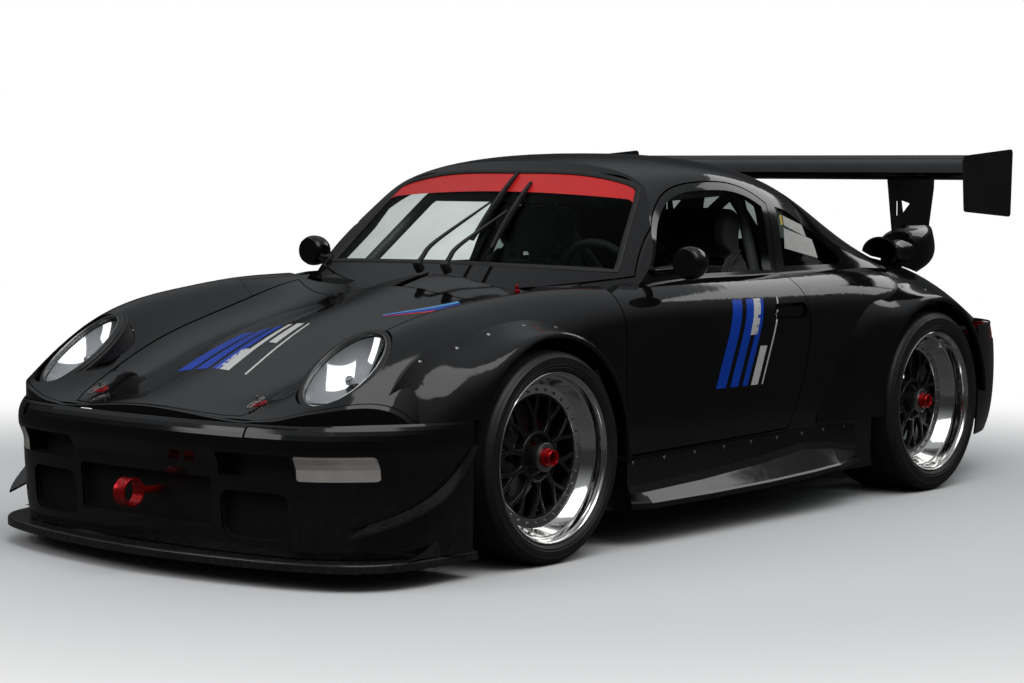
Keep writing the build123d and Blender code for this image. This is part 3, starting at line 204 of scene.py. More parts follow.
# how much road dust gathers low on the car, and its colour, heights and speck size
dusty = {"glossBlack": 0.5, "satinBlack": 0.6, "splitterBlack": 0.7, "spokeBlack": 0.4}
road = {"colour": (0.16, 0.14, 0.12), "from": 0.42, "to": 0.06, "most": 0.16, "specks": 55.0}


def startMaterial(name):
    material = bpy.data.materials.new(name)
    material.use_nodes = True
    return material, material.node_tree, material.node_tree.nodes["Principled BSDF"]


def setBump(tree, height, strength, distance):
    bump = addNode(tree, "Bump", {"Height": height, "Strength": strength, "Distance": distance})
    tree.links.new(bump.outputs[0], tree.nodes["Principled BSDF"].inputs["Normal"])


def rangedNoise(tree, space, scale, low, high, detail=3.0):
    # noise stretched to run from low to high
    noise = addNode(tree, "TexNoise", {"Vector": space, "Scale": scale, "Detail": detail})
    return addNode(tree, "MapRange", {0: noise.outputs[0], 1: 0.32, 2: 0.68, 3: low, 4: high}).outputs[0]


def waved(tree, space, scale, distortion=0.0, direction="Y", more=None):
    # even ribs across one direction
    values = {"Vector": space, "Scale": scale, "Distortion": distortion, **(more or {})}
    return addNode(tree, "TexWave", values, bands_direction=direction, wave_profile="SIN").outputs[0]


def blended(tree, share, first, second):
    # first where share is 0, second where it is 1
    mix = addNode(tree, "Mix", {0: share}, data_type="RGBA")
    for index, value in ((6, first), (7, second)):
        if isinstance(value, bpy.types.NodeSocket):
            tree.links.new(value, mix.inputs[index])
        else:
            mix.inputs[index].default_value = (*value[:3], 1)
    return mix.outputs[2]


def finishFrom(look):
    # a base of two close colours in patches, roughness in smears, fine grain and dust low on the car
    first, second, patch, roughness, grainScale, bumpStrength = looks[look]
    material, tree, shader = startMaterial(look)
    space = addNode(tree, "TexCoord").outputs["Object"]
    colour = blended(tree, rangedNoise(tree, space, patch, 0.0, 1.0), first, second)
    rough = rangedNoise(tree, space, patch * 2.3, *roughness, detail=5.0)
    if look in dusty:
        parts = addNode(tree, "SeparateXYZ", {0: space})
        low = addNode(tree, "MapRange", {0: parts.outputs["Z"], 1: road["from"], 2: road["to"], 3: 0.0,
                                         4: dusty[look]})
        specks = rangedNoise(tree, space, road["specks"], 0.0, road["most"], detail=8.0)
        share = worked(tree, "MULTIPLY", low.outputs[0], specks)
        colour = blended(tree, share, colour, road["colour"])
        rough = worked(tree, "ADD", rough, share)
    tree.links.new(colour, shader.inputs["Base Color"])
    tree.links.new(rough, shader.inputs["Roughness"])
    shader.inputs["Metallic"].default_value = metallic.get(look, 0.0)
    grain = addNode(tree, "TexNoise", {"Vector": space, "Scale": grainScale, "Detail": 2.0})
    setBump(tree, grain.outputs[0], bumpStrength, 0.001)
    return material


def glassFinish(name, tint, rough, smear):
    # thin clear sheet: mostly see-through, with gloss and a little uneven smear
    material, tree, shader = startMaterial(name)
    space = addNode(tree, "TexCoord").outputs["Object"]
    patches = rangedNoise(tree, space, 6.0, 0.0, 1.0)
    shader.inputs["Roughness"].default_value = rough
    shader.inputs["Base Color"].default_value = (0, 0, 0, 1)
    colour = blended(tree, patches, tint, tuple(0.92 * c for c in tint))
    clear = addNode(tree, "BsdfTransparent", {"Color": colour})
    facing = addNode(tree, "LayerWeight", {"Blend": 0.5}).outputs["Facing"]
    # share of gloss = 0.8 facing^4 + 0.035 + smear
    share = worked(tree, "MULTIPLY_ADD", worked(tree, "POWER", facing, 4.0), 0.8, 0.035 + smear)
    mix = addNode(tree, "MixShader", {0: share, 1: clear.outputs[0], 2: shader.outputs[0]})
    tree.links.new(mix.outputs[0], tree.nodes["Material Output"].inputs["Surface"])
    return material


materials = {look: finishFrom(look) for look in looks}
materials.update((name, glassFinish(name, *values)) for name, values in glasses.items())
print("finishes:", len(materials))


# ---- surfaces worked out on grids
def gridFaces(rows, columns, wrapRows=False, wrapColumns=False):
    # cell i, j has corners i, j and their next, and the last is joined to the first where it wraps
    i, j = np.meshgrid(np.arange(rows if wrapRows else rows - 1),
                       np.arange(columns if wrapColumns else columns - 1), indexing="ij")
    iNext, jNext = (i + 1) % rows, (j + 1) % columns
    corners = [i * columns + j, iNext * columns + j, iNext * columns + jNext, i * columns + jNext]
    return np.stack(corners, -1).reshape(-1, 4).tolist()


def joined(parts):
    # (points, faces) pairs one after the other, faces moved on by the points before them
    points, faces, before = [], [], 0
    for partPoints, partFaces in parts:
        points.append(np.asarray(partPoints, float).reshape(-1, 3))
        faces += [[k + before for k in face] for face in partFaces]
        before += len(points[-1])
    return np.concatenate(points), faces


def copies(part, places):
    # one part at each of several 4x4 places
    points = np.einsum("kij,pj->kpi", places[:, :3, :3], part[0]) + places[:, None, :3, 3]
    count = len(part[0])
    faces = np.array(part[1])[None] + (np.arange(len(places)) * count)[:, None, None]
    return points.reshape(-1, 3), faces.reshape(-1, faces.shape[-1]).tolist()


def placed(origins, normals, ups):
    # a 4x4 place for each origin, with local z along the normal and local x along up made square to it
    origins, normals, ups = (np.atleast_2d(np.asarray(v, float)) for v in (origins, normals, ups))
    normals = normals / np.linalg.norm(normals, axis=1, keepdims=True)
    across = np.cross(normals, np.broadcast_to(ups, normals.shape))
    across /= np.linalg.norm(across, axis=1, keepdims=True)
    places = np.zeros((len(origins), 4, 4))
    places[:, :3, 0] = np.cross(across, normals)
    places[:, :3, 1] = across
    places[:, :3, 2] = normals
    places[:, :3, 3] = origins
    places[:, 3, 3] = 1
    return places


def turned(profile, steps=96, closed=False, lift=0.0):
    # point = (r cos t, r sin t, h + lift) for each (r, h) of the profile and each angle t
    profile = np.asarray(profile, float)
    t = np.linspace(0, 2 * np.pi, steps, endpoint=False)
    r, h = profile[:, :1], profile[:, 1:] + lift
    points = np.stack([r * np.cos(t), r * np.sin(t), h + 0 * t], -1).reshape(-1, 3)
    return points, gridFaces(len(profile), steps, closed, True)


def carried(path, section, sizes=None, up=(0, 0, 1), closedPath=False):
    # section point (a, b) stands a along the side and b along the normal of each path point, times its size
    path, section = np.asarray(path, float), np.asarray(section, float)
    if closedPath:
        ahead = np.roll(path, -1, 0) - np.roll(path, 1, 0)
    else:
        ahead = np.gradient(path, axis=0)
    ahead /= np.linalg.norm(ahead, axis=1, keepdims=True)
    side = np.cross(ahead, np.broadcast_to(np.asarray(up, float), ahead.shape))
    side /= np.linalg.norm(side, axis=1, keepdims=True)
    normal = np.cross(side, ahead)
    sizes = np.ones((len(path), 2)) if sizes is None else np.broadcast_to(sizes, (len(path), 2))
    points = (path[:, None] + side[:, None] * (section[None, :, 0] * sizes[:, :1])[..., None]
              + normal[:, None] * (section[None, :, 1] * sizes[:, 1:])[..., None])
    faces = gridFaces(len(path), len(section), closedPath, True)
    if not closedPath:
        last = (len(path) - 1) * len(section)
        faces += [list(range(len(section)))[::-1], [last + k for k in range(len(section))]]
    return points.reshape(-1, 3), faces


def roundSection(steps=12, radius=1.0):
    t = np.linspace(0, 2 * np.pi, steps, endpoint=False)
    return radius * np.stack([np.cos(t), np.sin(t)], 1)


def boxSection(power=4.0, steps=16):
    # superellipse: |a|^power + |b|^power = 1
    t = np.linspace(0, 2 * np.pi, steps, endpoint=False) + np.pi / steps
    c, s = np.cos(t), np.sin(t)
    return np.stack([np.sign(c) * np.abs(c) ** (2 / power), np.sign(s) * np.abs(s) ** (2 / power)], 1)


def smoothLine(points, steps=60):
    # Catmull-Rom curve through the points, evenly stepped along its length: twice the point at t is
    # 2 b + (c - a) t + (2 a - 5 b + 4 c - d) t^2 + (3 b - a - 3 c + d) t^3
    points = np.asarray(points, float)
    points = np.concatenate([2 * points[:1] - points[1:2], points, 2 * points[-1:] - points[-2:-1]])
    a, b, c, d = (points[k:len(points) - 3 + k, None] for k in range(4))
    t = np.linspace(0, 1, 24, endpoint=False)[None, :, None]
    fine = 0.5 * (2 * b + (c - a) * t + (2 * a - 5 * b + 4 * c - d) * t ** 2
                  + (3 * b - a - 3 * c + d) * t ** 3)
    fine = np.concatenate([fine.reshape(-1, points.shape[1]), points[-2:-1]])
    along = np.concatenate([[0], np.cumsum(np.linalg.norm(np.diff(fine, axis=0), axis=1))])
    wanted = np.linspace(0, along[-1], steps)
    return np.stack([np.interp(wanted, along, fine[:, k]) for k in range(points.shape[1])], 1)


def makePiece(name, parts, look, body, stands=(), sharp=38.0, uv=None, merge=1e-5):
    points, faces = joined(parts)
    mesh = bpy.data.meshes.new(name)
    mesh.from_pydata(points.tolist(), [], faces)
    if uv is not None:
        corner = np.zeros(len(mesh.loops), np.int32)
        mesh.loops.foreach_get("vertex_index", corner)
        mesh.uv_layers.new(name="uv").data.foreach_set("uv", np.asarray(uv, np.float32)[corner].ravel())
    shape = bmesh.new()
    shape.from_mesh(mesh)
    if merge:
        bmesh.ops.remove_doubles(shape, verts=shape.verts, dist=merge)
    bmesh.ops.recalc_face_normals(shape, faces=shape.faces)
    shape.to_mesh(mesh)
    shape.free()
    mesh.polygons.foreach_set("use_smooth", np.ones(len(mesh.polygons), bool))
    mesh.set_sharp_from_angle(angle=np.radians(sharp))
    made = bpy.data.objects.new(name, mesh)
    bpy.context.collection.objects.link(made)
    mesh.materials.append(materials[look])
    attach(made, body)
    if stands:
        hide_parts(*stands)
    return made


def skin(*nodes):
    # search tree over CAD surfaces, for setting small pieces on them
    points, faces = joined([([v.co for v in frame["nodes"][n].data.vertices],
                             [list(p.vertices) for p in frame["nodes"][n].data.polygons]) for n in nodes])
    return BVHTree.FromPolygons([Vector(p) for p in points], faces)


def onSkin(tree, starts, way):
    # where a ray from each start meets the surface, and the surface's normal there
    hits = [tree.ray_cast(Vector(s), Vector(way)) for s in starts]
    kept = [h for h in hits if h[0] is not None]
    places = np.array([h[0] for h in kept]).reshape(-1, 3)
    normals = np.array([h[1] for h in kept]).reshape(-1, 3)
    flip = np.sign((normals @ np.asarray(way, float)))[:, None]
    return places, -normals * flip


# ---- finishes on the CAD nodes
slotLooks = {
    "body_paint": "glossBlack", "satin_black": "satinBlack", "black_composite": "splitterBlack",
    "clear_glass": "clearGlass", "tinted_glass": "tintedGlass", "lamp_lens": "lampGlass",
    "lamp_bowl": "gasketRubber", "red_lens": "redLens", "indicator_lens": "indicatorLens",
    "red_anodised": "redAnodised", "grille_mesh": "meshBlack", "cage_steel": "cagePaint",
    "seat_shell": "cabinTrim", "interior_trim": "cabinTrim", "steel_parts": "zincSteel",
    "rim_lip": "polishedLip", "tyre_rubber": "tyreRubber", "floor_coat": "floorCoat",
    "cast_block": "castCasing", "mirror_shell": "glossBlack",
}
nodeLooks = {"exhausts": "exhaustSteel", "headlamps": "satinBlack", "wing_supports": "satinBlack"}


def ribbedLens(name, colour, paintedGlow, ribs):
    # moulded lens: fine upright ribs in the bump, and brighter patches of painted glow, as from a bulb behind
    material, tree, shader = startMaterial(name)
    space = addNode(tree, "TexCoord").outputs["Object"]
    patches = rangedNoise(tree, space, 18.0, 0.0, 1.0)
    # the lens colour blends in random patches into the brighter colour, which is painted glow
    tree.links.new(blended(tree, patches, colour, paintedGlow), shader.inputs["Base Color"])
    shader.inputs["Roughness"].default_value = 0.08
    shader.inputs["Transmission Weight"].default_value = 0.25
    setBump(tree, waved(tree, space, ribs), 0.35, 0.001)
    return material


def tyreFinish(name):
    # u counts repeats round the tyre, v runs over the section: slits near the shoulders, scuffed tread
    material, tree, shader = startMaterial(name)
    space = addNode(tree, "TexCoord").outputs["Object"]
    flat = addNode(tree, "UVMap", uv_map="uv").outputs[0]
    parts = addNode(tree, "SeparateXYZ", {0: flat})
    u, v = parts.outputs["X"], parts.outputs["Y"]
    tread = worked(tree, "COMPARE", v, 0.5, 0.27)
    patches = rangedNoise(tree, space, 14.0, 0.0, 1.0)
    side = blended(tree, patches, (0.0125, 0.0122, 0.012), (0.020, 0.0195, 0.019))
    scuffs = rangedNoise(tree, space, 90.0, 0.0, 1.0)
    worn = blended(tree, scuffs, (0.020, 0.0195, 0.019), (0.034, 0.032, 0.030))
    tree.links.new(blended(tree, tread, side, worn), shader.inputs["Base Color"])
    rough = addNode(tree, "MapRange", {0: tread, 3: 0.42, 4: 0.68})
    tree.links.new(rough.outputs[0], shader.inputs["Roughness"])
    slit = worked(tree, "COMPARE", worked(tree, "FRACT", u), 0.5, 0.06)
    fromMiddle = worked(tree, "ABSOLUTE", worked(tree, "SUBTRACT", v, 0.5))
    shoulder = worked(tree, "COMPARE", fromMiddle, 0.285, 0.075)
    cut = worked(tree, "MULTIPLY", slit, shoulder)
    grain = addNode(tree, "TexNoise", {"Vector": space, "Scale": 500.0, "Detail": 3.0}).outputs[0]
    height = worked(tree, "MULTIPLY_ADD", cut, -6.0, grain)
    setBump(tree, height, 0.35, 0.0012)
    return material


def clothFinish(name, colour, pale, cell):
    # woven cloth: two crossed waves for the threads, a soft sheen and faded patches
    material, tree, shader = startMaterial(name)
    space = addNode(tree, "TexCoord").outputs["Object"]
    height = None
    for direction in ("Y", "Z"):
        wave = waved(tree, space, cell, 0.6, direction, {"Detail Scale": 3.0})
        height = wave if height is None else worked(tree, "MULTIPLY", height, wave)
    fade = rangedNoise(tree, space, 9.0, 0.0, 1.0)
    thread = blended(tree, height, colour, pale)
    tree.links.new(blended(tree, fade, thread, colour), shader.inputs["Base Color"])
    shader.inputs["Roughness"].default_value = 0.9
    shader.inputs["Sheen Weight"].default_value = 0.35
    setBump(tree, height, 0.5, 0.0006)
    return material


materials["redLens"] = ribbedLens("redLens", (0.42, 0.006, 0.008), (0.55, 0.012, 0.012), 55.0)
materials["indicatorLens"] = ribbedLens("indicatorLens", (0.74, 0.70, 0.66), (0.86, 0.80, 0.74), 60.0)
materials["tyreRubber"] = tyreFinish("tyreRubber")
materials["seatCloth"] = clothFinish("seatCloth", (0.010, 0.011, 0.012), (0.028, 0.029, 0.031), 420.0)

for subpart in frame["record"]["subparts"]:
    node, slot = subpart["node"], subpart["material_slot"]
    mesh = frame["nodes"][node].data
    look = materials[nodeLooks.get(node, slotLooks[slot])]
    if len(mesh.materials):
        for index in range(len(mesh.materials)):
            mesh.materials[index] = look
    else:
        mesh.materials.append(look)
print("finishes on the CAD nodes")


# ---- wheels and tyres
wheel = {
    "lipInset": 0.009,          # of the rim's lip from the tyre's side
    "ringDepth": 0.072,         # flat bolted ring behind the lip
    "ringBolts": 30,
    "spokes": 10,
    "spokeTwist": 9.0,          # degrees that each arm leans by at the ring
    "boltCircle": 0.2035,
    "hubBoltCircle": 0.0535,
    "hubFace": 0.063,
    "nutRadius": 0.027,
    "stubEnd": 0.8405,
    "steps": 120,
    "tyreRepeats": 60,
}
brake = {
    "disc": (0.080, 0.165),     # inner and outer radius
    "thick": 0.030,
    "bore": 0.0445,
    "discInset": 0.055,         # from the tyre's inner side
    "caliperInset": 0.040,
    "caliperRadius": 0.146,
    "caliperSpan": 27,          # degrees to either side of its middle
    "caliperSize": (0.030, 0.036),
}
frontCorner = {"station": 0.0, "radius": 0.325, "width": 0.250, "out": 0.884, "stagger": 0.0, "caliper": 165}
rearCorner = {"station": rearAxle, "radius": 0.337, "width": 0.295, "out": 0.902, "stagger": 0.028,
              "caliper": 20}
corners = {end + "_" + hand: dict(axle, side=side)
           for end, axle in (("front", frontCorner), ("rear", rearCorner))
           for hand, side in (("left", 1), ("right", -1))}


def wheelLevels(corner):
    # height of the lip's face above the wheel's middle, and depths of the ring and the hub below that face
    return (corner["width"] / 2 - wheel["lipInset"], wheel["ringDepth"] + corner["stagger"],
            wheel["hubFace"] + corner["stagger"])


def stubLevel(corner):
    # height of the stub's end above the wheel's middle
    return wheel["stubEnd"] - (corner["out"] - corner["width"] / 2)


def onAxle(parts, corner):
    # local (a, b, h) lies at a forward, b up and h outwards from the middle of the wheel
    middle = np.array([axleX + corner["station"], corner["side"] * (corner["out"] - corner["width"] / 2),
                       corner["radius"]])
    return [(np.stack([points[:, 0], corner["side"] * points[:, 2], points[:, 1]], 1) + middle, faces)
            for points, faces in parts]


def barrelParts(corner):
    # closed section of the bolted lip and the barrel behind it, turned about the axle
    lip, deep, _ = wheelLevels(corner)
    back = -corner["width"] / 2 + 0.016
    step = corner["stagger"] * 0.5
    section = [
        (0.2570, -0.012), (0.2600, -0.009), (0.2625, -0.004), (0.2620, -0.001), (0.2600, 0.0005),
        (0.2575, 0.0), (0.2552, -0.0025), (0.2535, -0.0075), (0.2505, -0.0095), (0.2475, -0.0125),
        (0.2462, -0.018), (0.2448, -0.032 - step), (0.2425, -0.034 - step), (0.2400, -0.0352 - step),
        (0.2385, -0.038 - step),
        (0.2215, -deep + 0.0035), (0.2190, -deep + 0.001), (0.2150, -deep), (0.1935, -deep),
        (0.1915, -deep - 0.001), (0.1905, -deep - 0.003), (0.1905, -deep - 0.016), (0.2200, -deep - 0.016),
    ]
    section = [(r, lip + h) for r, h in section]
    section += [(0.2280, lip - deep - 0.030), (0.2300, back + 0.050), (0.2420, back + 0.030),
                (0.2440, back + 0.012), (0.2580, back + 0.006), (0.2590, back), (0.2620, back + 0.002),
                (0.2570, back + 0.014), (0.2480, back + 0.022), (0.2440, back + 0.040),
                (0.2440, lip - deep - 0.012), (0.2500, lip - 0.040), (0.2510, lip - 0.020)]
    return [turned(section, wheel["steps"], closed=True)]


def spokeParts(corner):
    # each arm follows angle = spoke angle + or - the twist times a smooth step in radius
    lip, deep, hub = wheelLevels(corner)
    radius = np.linspace(0.066, 0.1925, 26)
    t = np.clip((radius - 0.094) / (0.176 - 0.094), 0, 1)
    twist = np.radians(wheel["spokeTwist"])
    bend = twist * t * t * (3 - 2 * t) * np.clip(0.4 + 0.6 * (radius / 0.19) ** 2, 0, 1)
    bend[-6:] = np.linspace(bend[-6], twist, 6)
    width = np.interp(radius, [0.066, 0.078, 0.095, 0.12, 0.165, 0.182, 0.1925],
                      [0.019, 0.0125, 0.0085, 0.0068, 0.0066, 0.0085, 0.0150])
    thick = np.interp(radius, [0.066, 0.12, 0.1925], [0.013, 0.010, 0.0080])
    front = np.interp(radius, [0.066, 0.085, 0.15, 0.1925], [hub, hub + 0.003, deep - 0.002, deep + 0.003])
    section = boxSection(5.0, 16)
    parts = []
    for spoke in range(wheel["spokes"]):
        for hand in (1, -1):
            angle = 2 * np.pi * (spoke + 0.35) / wheel["spokes"] + hand * bend
            path = np.stack([radius * np.cos(angle), radius * np.sin(angle), lip - front - thick], 1)
            parts.append(carried(path, section, np.stack([width, thick], 1), up=(0, 0, 1)))
    # black rim of the centre, hub boss with its recess, and the bore behind
    edge = [(0.1840, -deep - 0.004), (0.1850, -deep - 0.002), (0.1902, -deep - 0.002),
            (0.1902, -deep - 0.024), (0.1840, -deep - 0.024)]
    boss = [(0.0740, -hub + 0.0005), (0.0775, -hub - 0.0010), (0.0795, -hub - 0.0040), (0.0810, -hub - 0.034),
            (0.0460, -hub - 0.036), (0.0455, -hub - 0.0300), (0.0600, -hub - 0.0285), (0.0640, -hub - 0.0250),
            (0.0665, -hub - 0.0070), (0.0690, -hub - 0.0020)]
    parts.append(turned(edge, wheel["steps"], closed=True, lift=lip))
    parts.append(turned(boss, 72, closed=True, lift=lip))
    holes = np.radians(np.arange(5) * 72.0 + 18)
    base = turned([(0.0044, 0.001), (0.0062, 0.001), (0.0062, -0.001), (0.0044, -0.001)], 14, closed=True)
    out = wheel["hubBoltCircle"]
    origins = np.stack([out * np.cos(holes), out * np.sin(holes), 0 * holes + lip - hub - 0.029], 1)
    parts.append(copies(base, placed(origins, [[0, 0, 1]] * 5, [[1, 0, 0]] * 5)))
    return parts


def hubParts(corner):
    # steel ring round the nut, as stepped collars
    collar = [(0.0285, -0.014), (0.0285, 0.0005), (0.0300, 0.0020), (0.0345, 0.0020), (0.0352, 0.0005),
              (0.0375, 0.0005), (0.0382, 0.0022), (0.0420, 0.0022), (0.0438, 0.0008), (0.0445, -0.002),
              (0.0445, -0.014)]
    return [turned(collar, 64, closed=True, lift=stubLevel(corner))]


def nutParts(corner):
    # hollow nut with a chamfered mouth and a collar at its root, and the dark plug inside
    r = wheel["nutRadius"]
    body = [(r * 0.66, -0.004), (r * 0.66, 0.0270), (r * 0.72, 0.0305), (r * 0.86, 0.0310),
            (r * 0.93, 0.0290),
            (r * 0.95, 0.0240), (r * 0.88, 0.0215), (r * 0.86, 0.0080), (r * 1.04, 0.0050),
            (r * 1.06, -0.004)]
    plug = [(0.0001, 0.006), (r * 0.60, 0.006), (r * 0.66, 0.004), (r * 0.66, -0.004), (0.0001, -0.004)]
    foot = stubLevel(corner)
    return [turned(body, 48, closed=True, lift=foot)], [turned(plug, 32, lift=foot)]


def ringBoltParts(corner):
    # flat screws round the ring, each in its collar
    lip, deep, _ = wheelLevels(corner)
    t = 2 * np.pi * (np.arange(wheel["ringBolts"]) + 0.5) / wheel["ringBolts"]
    out = wheel["boltCircle"]
    origins = np.stack([out * np.cos(t), out * np.sin(t), 0 * t + lip - deep], 1)
    collar = turned([(0.0052, -0.001), (0.0052, 0.0008), (0.0030, 0.0012), (0.0030, -0.001)], 12, closed=True)
    head = turned([(0.0036, 0.0), (0.0036, 0.0042), (0.0030, 0.0050), (0.0002, 0.0052)], 6)
    count = len(t)
    places = placed(origins, [[0, 0, 1]] * count, np.stack([np.cos(t), np.sin(t), 0 * t], 1))
    return [copies(collar, places), copies(head, places)]


def tyreSection(corner):
    # half sidewall and shoulder as (radius, distance from the middle), then two grooves round the tread
    half, outer = corner["width"] / 2, corner["radius"]
    wall = outer - 0.262
    sidewall = [
        (0.2545, half - 0.020), (0.2590, half - 0.0135), (0.2640, half - 0.0100), (0.2680, half - 0.0060),
        (0.2700, half - 0.0040), (0.2725, half - 0.0028), (0.2732, half - 0.0018), (0.2750, half - 0.0018),
        (0.2757, half - 0.0026), (0.2810, half - 0.0014), (0.2816, half - 0.0004), (0.2834, half - 0.0004),
        (0.2840, half - 0.0012), (0.2890, half - 0.0006),
        (0.262 + wall * 0.52, half - 0.0004), (0.262 + wall * 0.62, half - 0.0020),
        (0.262 + wall * 0.64, half - 0.0012), (0.262 + wall * 0.67, half - 0.0014),
        (0.262 + wall * 0.69, half - 0.0034), (outer - 0.0140, half - 0.0075),
        (outer - 0.0080, half - 0.0125),
        (outer - 0.0042, half - 0.0180), (outer - 0.0022, half - 0.0260), (outer - 0.0012, half - 0.0370),
    ]
    crown = [(outer - 0.0005, half - 0.055), (outer, half * 0.42)]
    for place in (half * 0.36, half * 0.13):
        crown += [(outer, place + 0.0052), (outer - 0.0062, place + 0.0040), (outer - 0.0062, place - 0.0040),
                  (outer, place - 0.0052)]
    halfSection = np.array(sidewall + crown)
    return np.concatenate([halfSection, (halfSection * [1, -1])[::-1]])


def tyreParts(corner):
    # section turned about the axle with the seam column doubled, so that the map can end there
    section = tyreSection(corner)
    section = np.concatenate([section, section[:1]])
    along = np.concatenate([[0], np.cumsum(np.linalg.norm(np.diff(section[:-1], axis=0), axis=1))])
    along = np.append(along / along[-1], 1.0)
    steps = wheel["steps"] + 1
    t = np.linspace(0, 2 * np.pi, steps)
    r, h = section[:, 0][:, None], section[:, 1][:, None]
    points = np.stack([r * np.cos(t), r * np.sin(t), h + 0 * t], -1).reshape(-1, 3)
    u, v = np.meshgrid(t / (2 * np.pi) * wheel["tyreRepeats"], along)
    return points, gridFaces(len(section), steps), np.stack([u, v], -1).reshape(-1, 2)


def brakeParts(corner):
    # disc and the bell that holds it, both as closed sections
    inner, outer = brake["disc"]
    inward, bore = brake["discInset"] - corner["width"] / 2, brake["bore"]
    disc = [(inner, inward), (outer, inward), (outer, inward - brake["thick"]),
            (inner, inward - brake["thick"])]
    bell = [(bore, inward + 0.030), (0.078, inward + 0.030), (0.086, inward + 0.004), (0.086, inward - 0.004),
            (bore, inward - 0.004)]
    return [turned(disc, 64, closed=True), turned(bell, 48, closed=True)]


def caliperParts(corner):
    # block carried along an arc over the disc's edge, its size times 1 - 0.35 share^4 towards its ends
    share = np.linspace(-1, 1, 17)
    t = np.radians(corner["caliper"] + brake["caliperSpan"] * share)
    inward = 0 * t + brake["caliperInset"] - corner["width"] / 2
    path = np.stack([brake["caliperRadius"] * np.cos(t), brake["caliperRadius"] * np.sin(t), inward], 1)
    size = np.outer(1 - 0.35 * np.abs(share) ** 4, brake["caliperSize"])
    return [carried(path, boxSection(6.0, 20), size, up=(0, 0, 1))]


def makeWheels():
    for where, corner in corners.items():
        body = "wheel_" + where
        points, faces, uv = tyreParts(corner)
        makePiece("tyre_skin_" + where, onAxle([(points, faces)], corner), "tyreRubber", body,
                  ("tyre_" + where,), sharp=50, uv=uv)
        makePiece("rim_barrel_" + where, onAxle(barrelParts(corner), corner), "polishedLip", body,
                  ("rim_" + where,), sharp=28)
        makePiece("rim_spokes_" + where, onAxle(spokeParts(corner), corner), "spokeBlack", body, sharp=45)
        bolts = ringBoltParts(corner) + hubParts(corner)
        makePiece("rim_bolts_" + where, onAxle(bolts, corner), "zincSteel", body)
        shell, plug = nutParts(corner)
        makePiece("centre_nut_" + where, onAxle(shell, corner), "redAnodised", body)
        makePiece("nut_plug_" + where, onAxle(plug, corner), "satinBlack", body)
        makePiece("brake_disc_" + where, onAxle(brakeParts(corner), corner), "discIron", body)
        holder = where.replace("front", "knuckle") if "front" in where else "chassis"
        makePiece("caliper_" + where, onAxle(caliperParts(corner), corner), "redAnodised", holder)
    print("wheels and tyres")


makeWheels()


# ---- seats: padded cloth over the moulded shells
seat = {
    "middles": {"left": 0.370, "right": -0.370},
    "voxel": 0.006,
    "easing": 6,
    "baseFrom": (-1.243, -0.171, 0.1385),
    "baseTo": (-0.957, 0.171, 0.2690),
    "piping": [(-0.925, 0.318), (-1.000, 0.408), (-1.160, 0.430), (-1.262, 0.541), (-1.324, 0.741),
               (-1.380, 0.851), (-1.446, 0.912)],
    "pipingRadius": 0.0045,
    "pipingAside": 0.197,
}


def seatCover(middle):
    # one side of the moulded seat, remeshed to an even grid and eased so that its edges round off
    source = bmesh.new()
    source.from_mesh(frame["nodes"]["seats"].data)
    bmesh.ops.remove_doubles(source, verts=source.verts, dist=1e-5)
    bmesh.ops.delete(source, geom=[v for v in source.verts if v.co.y * middle < 0], context="VERTS")
    raw = bpy.data.meshes.new("seatSource")
    source.to_mesh(raw)
    source.free()
    holder = bpy.data.objects.new("seatSource", raw)
    bpy.context.collection.objects.link(holder)
    remesh = holder.modifiers.new("even", "REMESH")
    remesh.mode = "VOXEL"
    remesh.voxel_size = seat["voxel"]
    ease = holder.modifiers.new("ease", "SMOOTH")
    ease.factor = 0.5
    ease.iterations = seat["easing"]
    made = bpy.data.meshes.new_from_object(holder.evaluated_get(bpy.context.evaluated_depsgraph_get()))
    points = np.zeros(len(made.vertices) * 3)
    made.vertices.foreach_get("co", points)
    faces = [list(p.vertices) for p in made.polygons]
    bpy.data.objects.remove(holder)
    return points.reshape(-1, 3), faces


def boxPart(low, high):
    low, high = np.asarray(low, float), np.asarray(high, float)
    grid = np.array([[i, j, k] for k in (0, 1) for j in (0, 1) for i in (0, 1)])
    faces = [[0, 2, 3, 1], [4, 5, 7, 6], [0, 1, 5, 4], [2, 6, 7, 3], [0, 4, 6, 2], [1, 3, 7, 5]]
    return low + grid * (high - low), faces


def makeSeats():
    for hand, middle in seat["middles"].items():
        cover = makePiece("seat_cover_" + hand, [seatCover(middle)], "seatCloth", "chassis",
                          ("seats",), sharp=80)
        low = np.array(seat["baseFrom"]) + (axleX, middle, 0)
        high = np.array(seat["baseTo"]) + (axleX, middle, 0)
        makePiece("seat_base_" + hand, [boxPart(low, high)], "satinBlack", "chassis")
        runs = []
        for side in (1, -1):
            aside = middle + side * seat["pipingAside"]
            line = smoothLine([(x + axleX, aside, z) for x, z in seat["piping"]], 90)
            runs.append(carried(line, roundSection(8, seat["pipingRadius"]), up=(0, 1, 0)))
        makePiece("seat_piping_" + hand, runs, "gasketRubber", "chassis", sharp=60)
    print("seats")


makeSeats()


# ---- headlamps
headlamp = {
    "centre": (0.598, 0.577, 0.604),
    "lean": 36.0,
    "long": 0.188,
    "wide": 0.122,
    "ring": 0.020,
    "bowlDepth": 0.070,
    "domeRise": 0.026,
    "screwHeight": 0.0130,
}


def lampAxes(side):
    lean = np.radians(headlamp["lean"])
    normal = np.array([np.sin(lean), side * 0.10, np.cos(lean)])
    normal /= np.linalg.norm(normal)
    up = np.array([-np.cos(lean), 0, np.sin(lean)])
    across = np.cross(up, normal)
    across /= np.linalg.norm(across)
    up = np.cross(normal, across)
    middle = np.array([axleX + headlamp["centre"][0], side * headlamp["centre"][1], headlamp["centre"][2]])
    return middle, across, up, normal


